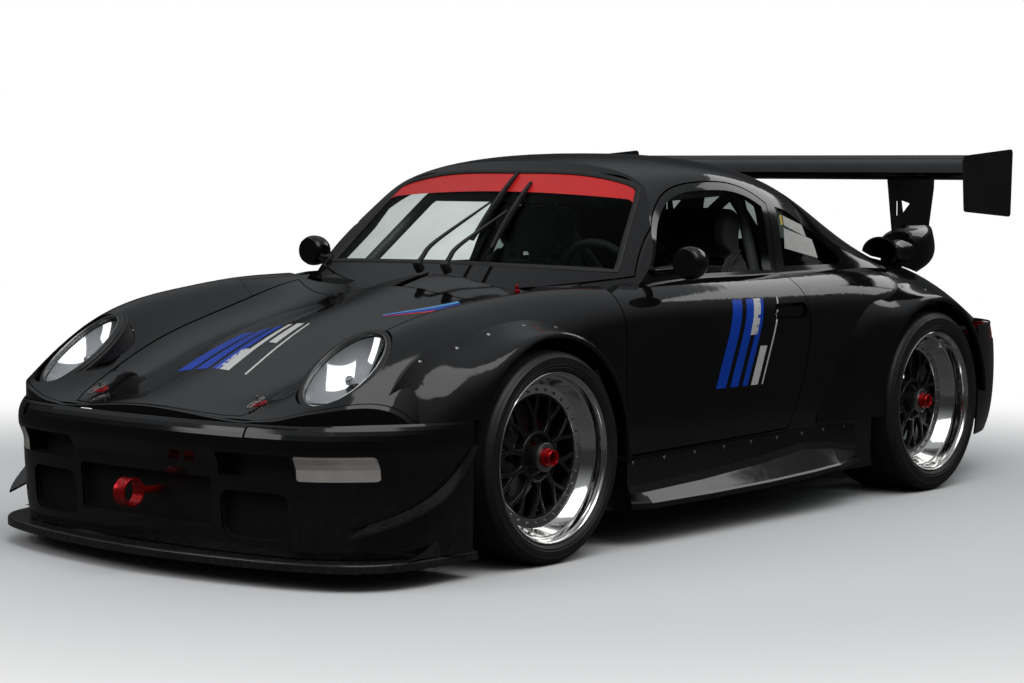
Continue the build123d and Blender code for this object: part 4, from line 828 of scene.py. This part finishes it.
def inLamp(part, side, shift=(0.0, 0.0, 0.0)):
    # local (a, b, h) lies at a across, b up the lamp and h out of its face
    middle, across, up, normal = lampAxes(side)
    points = part[0] + shift
    return middle + points[:, :1] * across + points[:, 1:2] * up + points[:, 2:] * normal, part[1]


def ovalRings(rings, steps=72):
    # rings hold (inset from the oval's edge, height): point = semi-axes less inset, at t
    t = np.linspace(0, 2 * np.pi, steps, endpoint=False)
    points = [np.stack([(headlamp["wide"] - inset) * np.cos(t), (headlamp["long"] - inset) * np.sin(t),
                        height + 0 * t], 1) for inset, height in rings]
    return np.concatenate(points), gridFaces(len(rings), steps, False, True)


def ovalShell(s, height, gap, steps):
    # ovals at shares s of the ring's opening less a gap, each at its own height
    t = np.linspace(0, 2 * np.pi, steps, endpoint=False)[None]
    a, b = (headlamp[half] - headlamp["ring"] - gap for half in ("wide", "long"))
    points = np.stack([a * s * np.cos(t), b * s * np.sin(t), height + 0 * t], -1).reshape(-1, 3)
    return points, gridFaces(len(s), steps, False, True)


def bowlPart():
    # reflector: height = -4 mm - depth (1 - s^2) over s from the rim to the bulb
    s = np.linspace(1.0, 0.10, 22)[:, None]
    return ovalShell(s, -0.004 - headlamp["bowlDepth"] * (1 - s ** 2), 0.002, 72)


def lensPart():
    # outer dome: height = 2 mm + rise (1 - s^2)^0.8 over s from the rim to the middle
    s = np.linspace(1.0, 0.0, 26)[:, None]
    return ovalShell(s, 0.002 + headlamp["domeRise"] * (1 - s ** 2) ** 0.8, 0.0004, 96)


def makeHeadlamps():
    for side, hand in ((1, "left"), (-1, "right")):
        makePiece("lamp_bowl_" + hand, [inLamp(bowlPart(), side)], "chromeBowl", "chassis", sharp=60)
        makePiece("lamp_lens_" + hand, [inLamp(lensPart(), side)], "lampLens", "chassis",
                  ("lamp_lenses",), sharp=60)
        # bulb: glass capsule with a bright shield over its tip, on a short black foot
        foot = turned([(0.0001, -0.070), (0.022, -0.070), (0.022, -0.060), (0.013, -0.056),
                       (0.0001, -0.056)], 32)
        bulb = turned([(0.009, -0.058), (0.009, -0.044), (0.0085, -0.030), (0.0001, -0.029)], 24)
        shield = turned([(0.0001, -0.019), (0.011, -0.021), (0.0145, -0.026), (0.0155, -0.036),
                         (0.0145, -0.036), (0.0135, -0.027), (0.0001, -0.0215)], 32)
        makePiece("lamp_foot_" + hand, [inLamp(foot, side), inLamp(bulb, side)], "satinBlack", "chassis")
        makePiece("lamp_shield_" + hand, [inLamp(shield, side)], "chromeBowl", "chassis")
        # rubber under the ring, bright bezel inside it, and the screw at its foot
        gasket = ovalRings([(-0.006, -0.010), (-0.007, 0.001), (-0.004, 0.004), (0.001, 0.005),
                            (0.001, -0.010)])
        bezel = ovalRings([(0.0195, 0.004), (0.0205, 0.0155), (0.0225, 0.0165), (0.0245, 0.0140),
                           (0.0250, 0.002)])
        makePiece("lamp_gasket_" + hand, [inLamp(gasket, side)], "gasketRubber", "chassis")
        makePiece("lamp_bezel_" + hand, [inLamp(bezel, side)], "zincSteel", "chassis")
        screw = turned([(0.006, 0.0), (0.006, 0.0018), (0.00432, 0.00285), (0.000006, 0.003)], 16)
        below = (0.0, -headlamp["long"] + headlamp["ring"] / 2, headlamp["screwHeight"])
        makePiece("lamp_screw_" + hand, [inLamp(screw, side, below)], "zincSteel", "chassis")
    print("headlamps")


def lampLensFinish(name):
    # clear lens with moulded upright flutes in the bump
    material = glassFinish(name, (0.96, 0.97, 0.975), 0.03, 0.05)
    tree = material.node_tree
    space = addNode(tree, "TexCoord").outputs["Object"]
    setBump(tree, waved(tree, space, 26.0), 0.25, 0.002)
    return material


materials["lampLens"] = lampLensFinish("lampLens")
makeHeadlamps()


# ---- windscreen: rubber and sun strip
screen = {
    "rake": 450.0 / 364.0,
    "foot": (-0.428, 0.835),
    "outline": [(0.640, 0.862), (0.560, 1.090), (0.520, 1.142), (0.300, 1.182), (0.0, 1.190), (-0.300, 1.182),
                (-0.520, 1.142), (-0.560, 1.090), (-0.640, 0.862), (-0.400, 0.870), (0.0, 0.874),
                (0.400, 0.870)],
    "corners": [0, 1, 7, 8],
    "stripLow": 1.118,
    "rubberWidth": 0.011,
    "runSteps": (26, 8),        # points on a curved run between corners, and on a straight one
    "halfSpan": 0.9,            # where the set-back behind the centre is measured
    "setBack": (0.210, 0.255),  # at the foot, and how much less it is for each metre up
    "bow": 1.65,
    "stripGrid": (9, 61),
    "stripBend": 0.86,          # share of the half width where the upper edge turns down
    "outwards": (0.63, 0, 0.78),
}


def onScreen(y, z, out=0.0):
    # glass surface: a circle through the centre and bow x set-back at the half span, sliding back with height
    y, z = np.asarray(y, float), np.asarray(z, float)
    centre = screen["foot"][0] - (z - screen["foot"][1]) * screen["rake"] + (out - 0.004) * 1.6
    atFoot, less = screen["setBack"]
    sag = screen["bow"] * (atFoot - (z - screen["foot"][1]) * less)
    radius = (screen["halfSpan"] ** 2 + sag ** 2) / (2 * sag)
    x = centre - (radius - np.sqrt(radius ** 2 - y ** 2))
    return np.stack([x + axleX, y, z], -1)


def outlineThrough(points, cornersAt):
    # smooth runs between the corners of a closed outline
    points = np.asarray(points, float)
    count = len(points)
    runs = []
    for index, start in enumerate(cornersAt):
        end = cornersAt[(index + 1) % len(cornersAt)]
        span = (end - start) % count or count
        run = points[(start + np.arange(span + 1)) % count]
        runs.append(smoothLine(run, screen["runSteps"][0 if span > 1 else 1])[:-1])
    return np.concatenate(runs)


def makeScreen():
    edge = outlineThrough(screen["outline"], screen["corners"])
    middle = edge.mean(0)
    inward = middle - edge
    inward /= np.linalg.norm(inward, axis=1, keepdims=True)
    path = onScreen(edge[:, 0] + inward[:, 0] * 0.004, edge[:, 1] + inward[:, 1] * 0.004, 0.001)
    section = boxSection(3.0, 14) * [screen["rubberWidth"], 0.0055]
    rubber = carried(path, section, up=screen["outwards"], closedPath=True)
    makePiece("screen_rubber", [rubber], "gasketRubber", "chassis", sharp=60)
    # sun strip: rows rise from its lower edge to the glass edge, which bows down towards the pillars
    up, along = screen["stripGrid"]
    bend = screen["stripBend"]
    across = np.linspace(-1, 1, along)
    topY = np.interp(across, [-1, -bend, 0, bend, 1], [-0.562, -0.512, 0, 0.512, 0.562])
    sideShare = np.clip((np.abs(across) - bend) / (1 - bend), 0, 1)
    topZ = np.interp(np.abs(topY), [0, 0.15, 0.300, 0.42, 0.512, 0.562],
                     [1.187, 1.185, 1.179, 1.164, 1.140, 1.090])
    lowZ = screen["stripLow"] - 0.030 * np.abs(across) ** 2 - 0.02 * sideShare
    lowY = topY + np.sign(topY) * np.interp(np.abs(topY), [0, 0.3, 0.562], [0, 0.004, 0.018])
    rows = np.linspace(0, 1, up)[:, None]
    y = lowY * (1 - rows) + topY * rows
    z = lowZ * (1 - rows) + topZ * rows
    points = onScreen(y.ravel(), z.ravel(), 0.0012)
    makePiece("sun_strip", [(points, gridFaces(up, along))], "redVinyl", "chassis", sharp=60)
    print("windscreen rubber and sun strip")


makeScreen()


# ---- wipers
wipers = {
    # a blade's park is (y, z) of its lower end, then of its upper end
    "pivots": [(-0.312, 0.045, 0.868), (-0.330, 0.150, 0.866)],
    "armSize": (0.0075, 0.0045),
    "rubberSize": (0.0028, 0.0050),
    "bridgeSize": (0.0060, 0.0032),
    "bridgeRise": 0.010,
    "park": [(0.060, 0.955, 0.030, 1.182), (0.165, 0.930, 0.120, 1.150)],
}


def makeWipers():
    # arm: a flat tapered bar from the pivot to the blade's middle, lifted clear of the glass
    parts, blades = [], []
    for (px, py, pz), (lowY, lowZ, highY, highZ) in zip(wipers["pivots"], wipers["park"]):
        start = np.array([px + axleX, py, pz + 0.012])
        low, high = onScreen(lowY, lowZ, 0.016), onScreen(highY, highZ, 0.016)
        middle = (low + high) / 2 + [0.010, 0, 0.014]
        knee = start * 0.72 + middle * 0.28 + np.array([0.016, 0, 0.016])
        path = smoothLine([start, start * 0.92 + middle * 0.08 + [0.006, 0, 0.008], knee, middle], 40)
        taper = np.linspace(1.25, 0.6, 40)
        parts.append(carried(path, boxSection(4.0, 12), np.outer(taper, wipers["armSize"])))
        cap = turned([(0.0001, 0.020), (0.010, 0.019), (0.0145, 0.014), (0.0160, 0.004), (0.0160, -0.020),
                      (0.0001, -0.020)], 24)
        parts.append(copies(cap, placed([start - [0, 0, 0.006]], [[0.6, 0, 0.8]], [[0, 1, 0]])))
        # blade: a bowed bar over a thin rubber that follows the glass
        t = np.linspace(0, 1, 30)
        y, z = lowY + (highY - lowY) * t, lowZ + (highZ - lowZ) * t
        rubber = onScreen(y, z, 0.0055)
        rise = np.outer(wipers["bridgeRise"] * np.sin(np.pi * t), screen["outwards"])
        bridge = onScreen(y, z, 0.010) + rise
        for line, size in ((rubber, "rubberSize"), (bridge, "bridgeSize")):
            blades.append(carried(line, boxSection(4.0, 10) * wipers[size], up=screen["outwards"]))
    makePiece("wiper_arms", parts, "satinBlack", "chassis", ("wiper",))
    makePiece("wiper_blades", blades, "gasketRubber", "chassis")
    print("wipers")


makeWipers()


# ---- tow hoop, bonnet pins, kill switch
trim = {
    "hoopCentre": (0.960, 0.047, 0.246),
    "hoopOuter": 0.0425,
    "hoopInner": 0.036,
    "stemFrom": 0.036,          # behind the hoop's middle
    "stemTo": 0.150,
    "stemSize": (0.0115, 0.0095),
    "pins": [(0.724, 0.347), (0.724, -0.347)],
    "switch": (-0.395, 0.405),
}


def makeHoop():
    # ring: a flat band turned about the cross axis, rolled at both edges
    cx, cy, cz = trim["hoopCentre"]
    outer, inner = trim["hoopOuter"], trim["hoopInner"]
    band = [(inner, -0.0225), (inner + 0.0012, -0.0228), (outer - 0.001, -0.0222), (outer, -0.0210),
            (outer - 0.0006, -0.0190), (outer - 0.0014, -0.010), (outer - 0.0014, 0.010),
            (outer - 0.0006, 0.0190),
            (outer, 0.0210), (outer - 0.001, 0.0222), (inner + 0.0012, 0.0228), (inner, 0.0225),
            (inner, 0.010), (inner, -0.010)]
    points, faces = turned(band, 72, closed=True)
    ring = np.stack([points[:, 0], points[:, 2], points[:, 1]], 1) + [cx + axleX, cy, cz]
    path = np.linspace([cx + axleX - trim["stemFrom"], cy, cz], [cx + axleX - trim["stemTo"], cy, cz], 8)
    stem = carried(path, boxSection(4.0, 12) * trim["stemSize"])
    makePiece("tow_hoop_ring", [(ring, faces), stem], "redAnodised", "chassis", ("tow_hoop",))


def makePins():
    tree = skin("bonnet", "front_fenders", "body_shell")
    plates, pins, clips = [], [], []
    for x, y in trim["pins"]:
        place, normal = onSkin(tree, [(x + axleX, y, 1.2)], (0, 0, -1))
        at = placed(place, normal, [[1, 0, 0]])
        plate = turned([(0.0001, 0.0030), (0.0200, 0.0030), (0.0245, 0.0015), (0.0250, -0.002),
                        (0.0001, -0.002)], 28)
        pin = turned([(0.0048, 0.0), (0.0048, 0.021), (0.0040, 0.0245), (0.0001, 0.0255)], 16)
        collar = turned([(0.0050, 0.0022), (0.0088, 0.0022), (0.0088, 0.0050), (0.0050, 0.0050)], 20,
                        closed=True)
        plates.append(copies(plate, at))
        pins.append(copies(pin, at))
        pins.append(copies(collar, at))
        # hairpin clip: a wire out along the pin's hole and back in a waved leg
        wire = smoothLine([(-0.026, 0.0, 0.012), (0.014, 0.0, 0.012), (0.044, 0.0, 0.010),
                           (0.056, 0.008, 0.009),
                           (0.046, 0.016, 0.009), (0.024, 0.009, 0.010), (0.003, 0.014, 0.011),
                           (-0.018, 0.010, 0.011)],
                          50)
        clip = carried(wire, roundSection(8, 0.0024), up=(0, 0, 1))
        clips.append(copies((clip[0], [f for f in clip[1] if len(f) == 4]), at))
    makePiece("bonnet_pin_plates", plates, "redAnodised", "bonnet")
    makePiece("bonnet_pins", pins + clips, "zincSteel", "bonnet")
    x, y = trim["switch"]
    place, normal = onSkin(tree, [(x + axleX, y, 1.4)], (0, 0, -1))
    at = placed(place, normal, [[1, 0, 0]])
    base = turned([(0.0001, 0.004), (0.012, 0.004), (0.0155, 0.0025), (0.016, -0.002), (0.0001, -0.002)], 28)
    knob = turned([(0.0001, 0.036), (0.0050, 0.0355), (0.0062, 0.033), (0.0055, 0.022), (0.0085, 0.018),
                   (0.0090, 0.010), (0.0075, 0.003), (0.0001, 0.003)], 24)
    makePiece("kill_switch_base", [copies(base, at)], "satinBlack", "chassis")
    makePiece("kill_switch_knob", [copies(knob, at)], "redAnodised", "chassis")
    print("tow hoop, bonnet pins and kill switch")


makeHoop()
makePins()


# ---- painted bars on the bonnet and doors, papers in the window
decals = {
    # bars are (lowest and highest u, lowest and highest v), where u is x on the bonnet and z on the
    # doors, v is y on the bonnet and x on the doors, and v leans by a share of u
    "bonnet": {
        "blueVinyl": [(0.16, 0.56, -0.30, -0.235), (0.16, 0.56, -0.215, -0.165), (0.16, 0.56, -0.145, -0.11)],
        "whiteVinyl": [(0.16, 0.56, -0.092, -0.07), (0.16, 0.34, -0.052, -0.02), (0.40, 0.56, -0.052, -0.02),
                       (0.16, 0.56, -0.002, 0.006)],
    },
    "door": {
        "blueVinyl": [(0.47, 0.76, -0.97, -0.915), (0.47, 0.76, -1.04, -0.995), (0.47, 0.76, -1.095, -1.065)],
        "whiteVinyl": [(0.47, 0.60, -1.155, -1.115), (0.64, 0.76, -1.155, -1.115),
                       (0.47, 0.76, -1.185, -1.177)],
    },
    "bonnetLean": 0.30,
    "doorLean": -0.45,
    # stripes are (look, near and far edge), and taper towards the front
    "cowl": [("paleBlueVinyl", 0.000, 0.016), ("blueVinyl", 0.022, 0.038), ("redVinyl", 0.044, 0.056)],
    "cowlFrom": (-0.020, 0.150),
    "cowlTo": (-0.262, 0.262),
    # blank papers on the left quarter window, as corners in x and z
    "papers": [("paperWhite", [(-1.640, 1.034), (-1.772, 0.998), (-1.762, 0.956), (-1.622, 1.000)]),
               ("paperYellow", [(-1.612, 1.034), (-1.632, 1.038), (-1.616, 1.004), (-1.598, 1.000)]),
               ("paperWhite", [(-1.612, 0.990), (-1.800, 0.946), (-1.784, 0.880), (-1.577, 0.919)])],
    "lift": 0.0006,
}


def drapedGrid(tree, starts, way, rows, columns):
    # grid of points thrown onto the surface and raised a vinyl's thickness
    places, normals = onSkin(tree, starts.reshape(-1, 3), way)
    return places + normals * decals["lift"], gridFaces(rows, columns)


def makeBars(name, tree, body, bars, toPlace, way, lean):
    for look, edges in bars.items():
        sheets = []
        for low, high, left, right in edges:
            u, v = np.meshgrid(np.linspace(low, high, 28), np.linspace(left, right, 7), indexing="ij")
            sheets.append(drapedGrid(tree, toPlace(u, v + (u - low) * lean), way, 28, 7))
        makePiece(name + "_" + look, sheets, look, body, sharp=80)


def makeDecals():
    makeBars("bonnet_bars", skin("bonnet"), "bonnet", decals["bonnet"],
             lambda u, v: np.stack([u + axleX, v, 0 * u + 1.3], -1), (0, 0, -1), decals["bonnetLean"])
    for side, hand in ((1, "left"), (-1, "right")):
        makeBars("door_bars_" + hand, skin("door_" + hand), "door_" + hand, decals["door"],
                 lambda u, v: np.stack([v + axleX, 0 * u + side * 1.3, u], -1), (0, -side, 0),
                 decals["doorLean"])
    tree = skin("bonnet")
    first, last = np.array(decals["cowlFrom"]), np.array(decals["cowlTo"])
    along = (last - first) / np.linalg.norm(last - first)
    across = np.array([along[1], -along[0]])
    for index, (look, near, far) in enumerate(decals["cowl"]):
        s, t = np.meshgrid(np.linspace(0, 1, 30), np.linspace(near, far, 4), indexing="ij")
        taper = 0.25 + 0.75 * s
        flat = first + s[..., None] * (last - first) + (t * taper)[..., None] * across
        starts = np.concatenate([flat + [axleX, 0], np.full(s.shape + (1,), 1.3)], -1)
        stripe = drapedGrid(tree, starts, (0, 0, -1), 30, 4)
        makePiece("cowl_stripe_%d" % index, [stripe], look, "bonnet", sharp=80)
    glass = skin("quarter_windows", "body_shell")
    share = np.stack(np.meshgrid(np.linspace(0, 1, 14), np.linspace(0, 1, 10), indexing="ij"), -1)
    for index, (look, edges) in enumerate(decals["papers"]):
        # bilinear between the four corners
        a, b, c, d = np.asarray(edges)[:, None, None, :]
        s, t = share[..., :1], share[..., 1:]
        flat = (a * (1 - s) + b * s) * (1 - t) + (d * (1 - s) + c * s) * t
        starts = np.stack([flat[..., 0] + axleX, 0 * flat[..., 0] + 1.3, flat[..., 1]], -1)
        paper = drapedGrid(glass, starts, (0, -1, 0), 14, 10)
        makePiece("window_paper_%d" % index, [paper], look, "chassis", sharp=80)
    print("painted bars and papers")


makeDecals()


# ---- mesh behind the bumper's openings
grille = {
    # openings are (middle y, middle z, half width, half height)
    "cell": (0.0105, 0.0062),
    "strand": 0.0011,
    "openings": [(0.0, 0.228, 0.290, 0.077), (0.436, 0.200, 0.122, 0.072), (-0.436, 0.200, 0.122, 0.072)],
    "setBack": 0.026,
}


def bumperNose(y):
    # nose line of the bumper in plan: its station falls away from the centre
    points = np.array([(0, 0), (0.300, -0.010), (0.500, -0.036), (0.620, -0.072), (0.772, -0.215),
                       (0.845, -0.350)])
    line = smoothLine(np.concatenate([points[::-1] * [-1, 1], points[1:]]), 400)
    return 0.862 + np.interp(y, line[:, 0], line[:, 1])


def makeMesh():
    # expanded metal: neighbouring strands zigzag by half a cell and touch where they meet
    wide, high = grille["cell"]
    parts = []
    for centre, middleZ, halfWide, halfHigh in grille["openings"]:
        count = int(2 * halfHigh / high) + 1
        steps = int(2 * halfWide / (wide / 4)) + 1
        y = centre + np.linspace(-halfWide, halfWide, steps)
        zig = np.abs(((y - centre) / wide) % 1 - 0.5) * 2 - 0.5
        row = np.arange(count)[:, None]
        z = middleZ - halfHigh + (row + 0.5) * high + zig[None] * high * np.where(row % 2, 1, -1)
        x = axleX + bumperNose(y)[None] - grille["setBack"] + 0 * z
        centreLine = np.stack([x, y[None] + 0 * z, z], -1)
        s = grille["strand"]
        # each strand is a bar with four edges
        edges = np.stack([centreLine + [s, 0, s], centreLine + [s, 0, -s], centreLine + [-s, 0, -s],
                          centreLine + [-s, 0, s]], 2)
        faces = np.array(gridFaces(steps, 4, False, True))
        faces = (faces[None] + (np.arange(count) * steps * 4)[:, None, None]).reshape(-1, 4)
        parts.append((edges.reshape(-1, 3), faces.tolist()))
    makePiece("grille_mesh", parts, "meshBlack", "chassis", merge=0, sharp=60)
    print("grille mesh")


makeMesh()


# ---- rivets along the flares and skirts
rivets = {
    # reaches are (degrees from straight ahead, distance from the axle)
    "radius": 0.0062,
    "height": 0.0022,
    "frontReach": [(10, 0.690), (22, 0.628), (33, 0.574), (46, 0.480), (62, 0.430), (82, 0.404), (104, 0.400),
                   (126, 0.412), (146, 0.418), (164, 0.418), (180, 0.416)],
    "rearReach": [(26, 0.668), (38, 0.668), (46, 0.612), (58, 0.500), (76, 0.444), (98, 0.418), (120, 0.418),
                  (142, 0.438), (160, 0.450), (174, 0.456)],
    "skirt": [-0.43, -0.60, -0.77, -0.94, -1.10, -1.26, -1.42, -1.56, -1.70],
}


def rivetsOn(tree, head, x, z):
    # one head on each side of the car at every x and z, thrown inwards onto the panel
    parts = []
    for side in (1, -1):
        starts = np.stack([x + axleX, side * 1.2 + 0 * x, z], 1)
        place, normal = onSkin(tree, starts, (0, -side, 0))
        parts.append(copies(head, placed(place, normal, [[1, 0, 0.3]])))
    return parts


def makeRivets():
    radius, height = rivets["radius"], rivets["height"]
    head = turned([(radius, -0.001), (radius * 0.96, 0.0007), (radius * 0.72, 0.0018),
                   (radius * 0.34, height), (0.0001, height)], 14)
    for end, corner in (("front", frontCorner), ("rear", rearCorner)):
        angle, reach = np.array(rivets[end + "Reach"], float).T
        angle = np.radians(angle)
        parts = rivetsOn(skin(end + "_flares"), head, corner["station"] + reach * np.cos(angle),
                         corner["radius"] + reach * np.sin(angle))
        makePiece(end + "_flare_rivets", parts, "zincSteel", "chassis")
    x = np.array(rivets["skirt"])
    parts = rivetsOn(skin("side_skirts"), head, x, np.interp(x, [-1.75, -0.398], [0.286, 0.268]))
    makePiece("skirt_rivets", parts, "zincSteel", "chassis")
    print("rivets")


makeRivets()
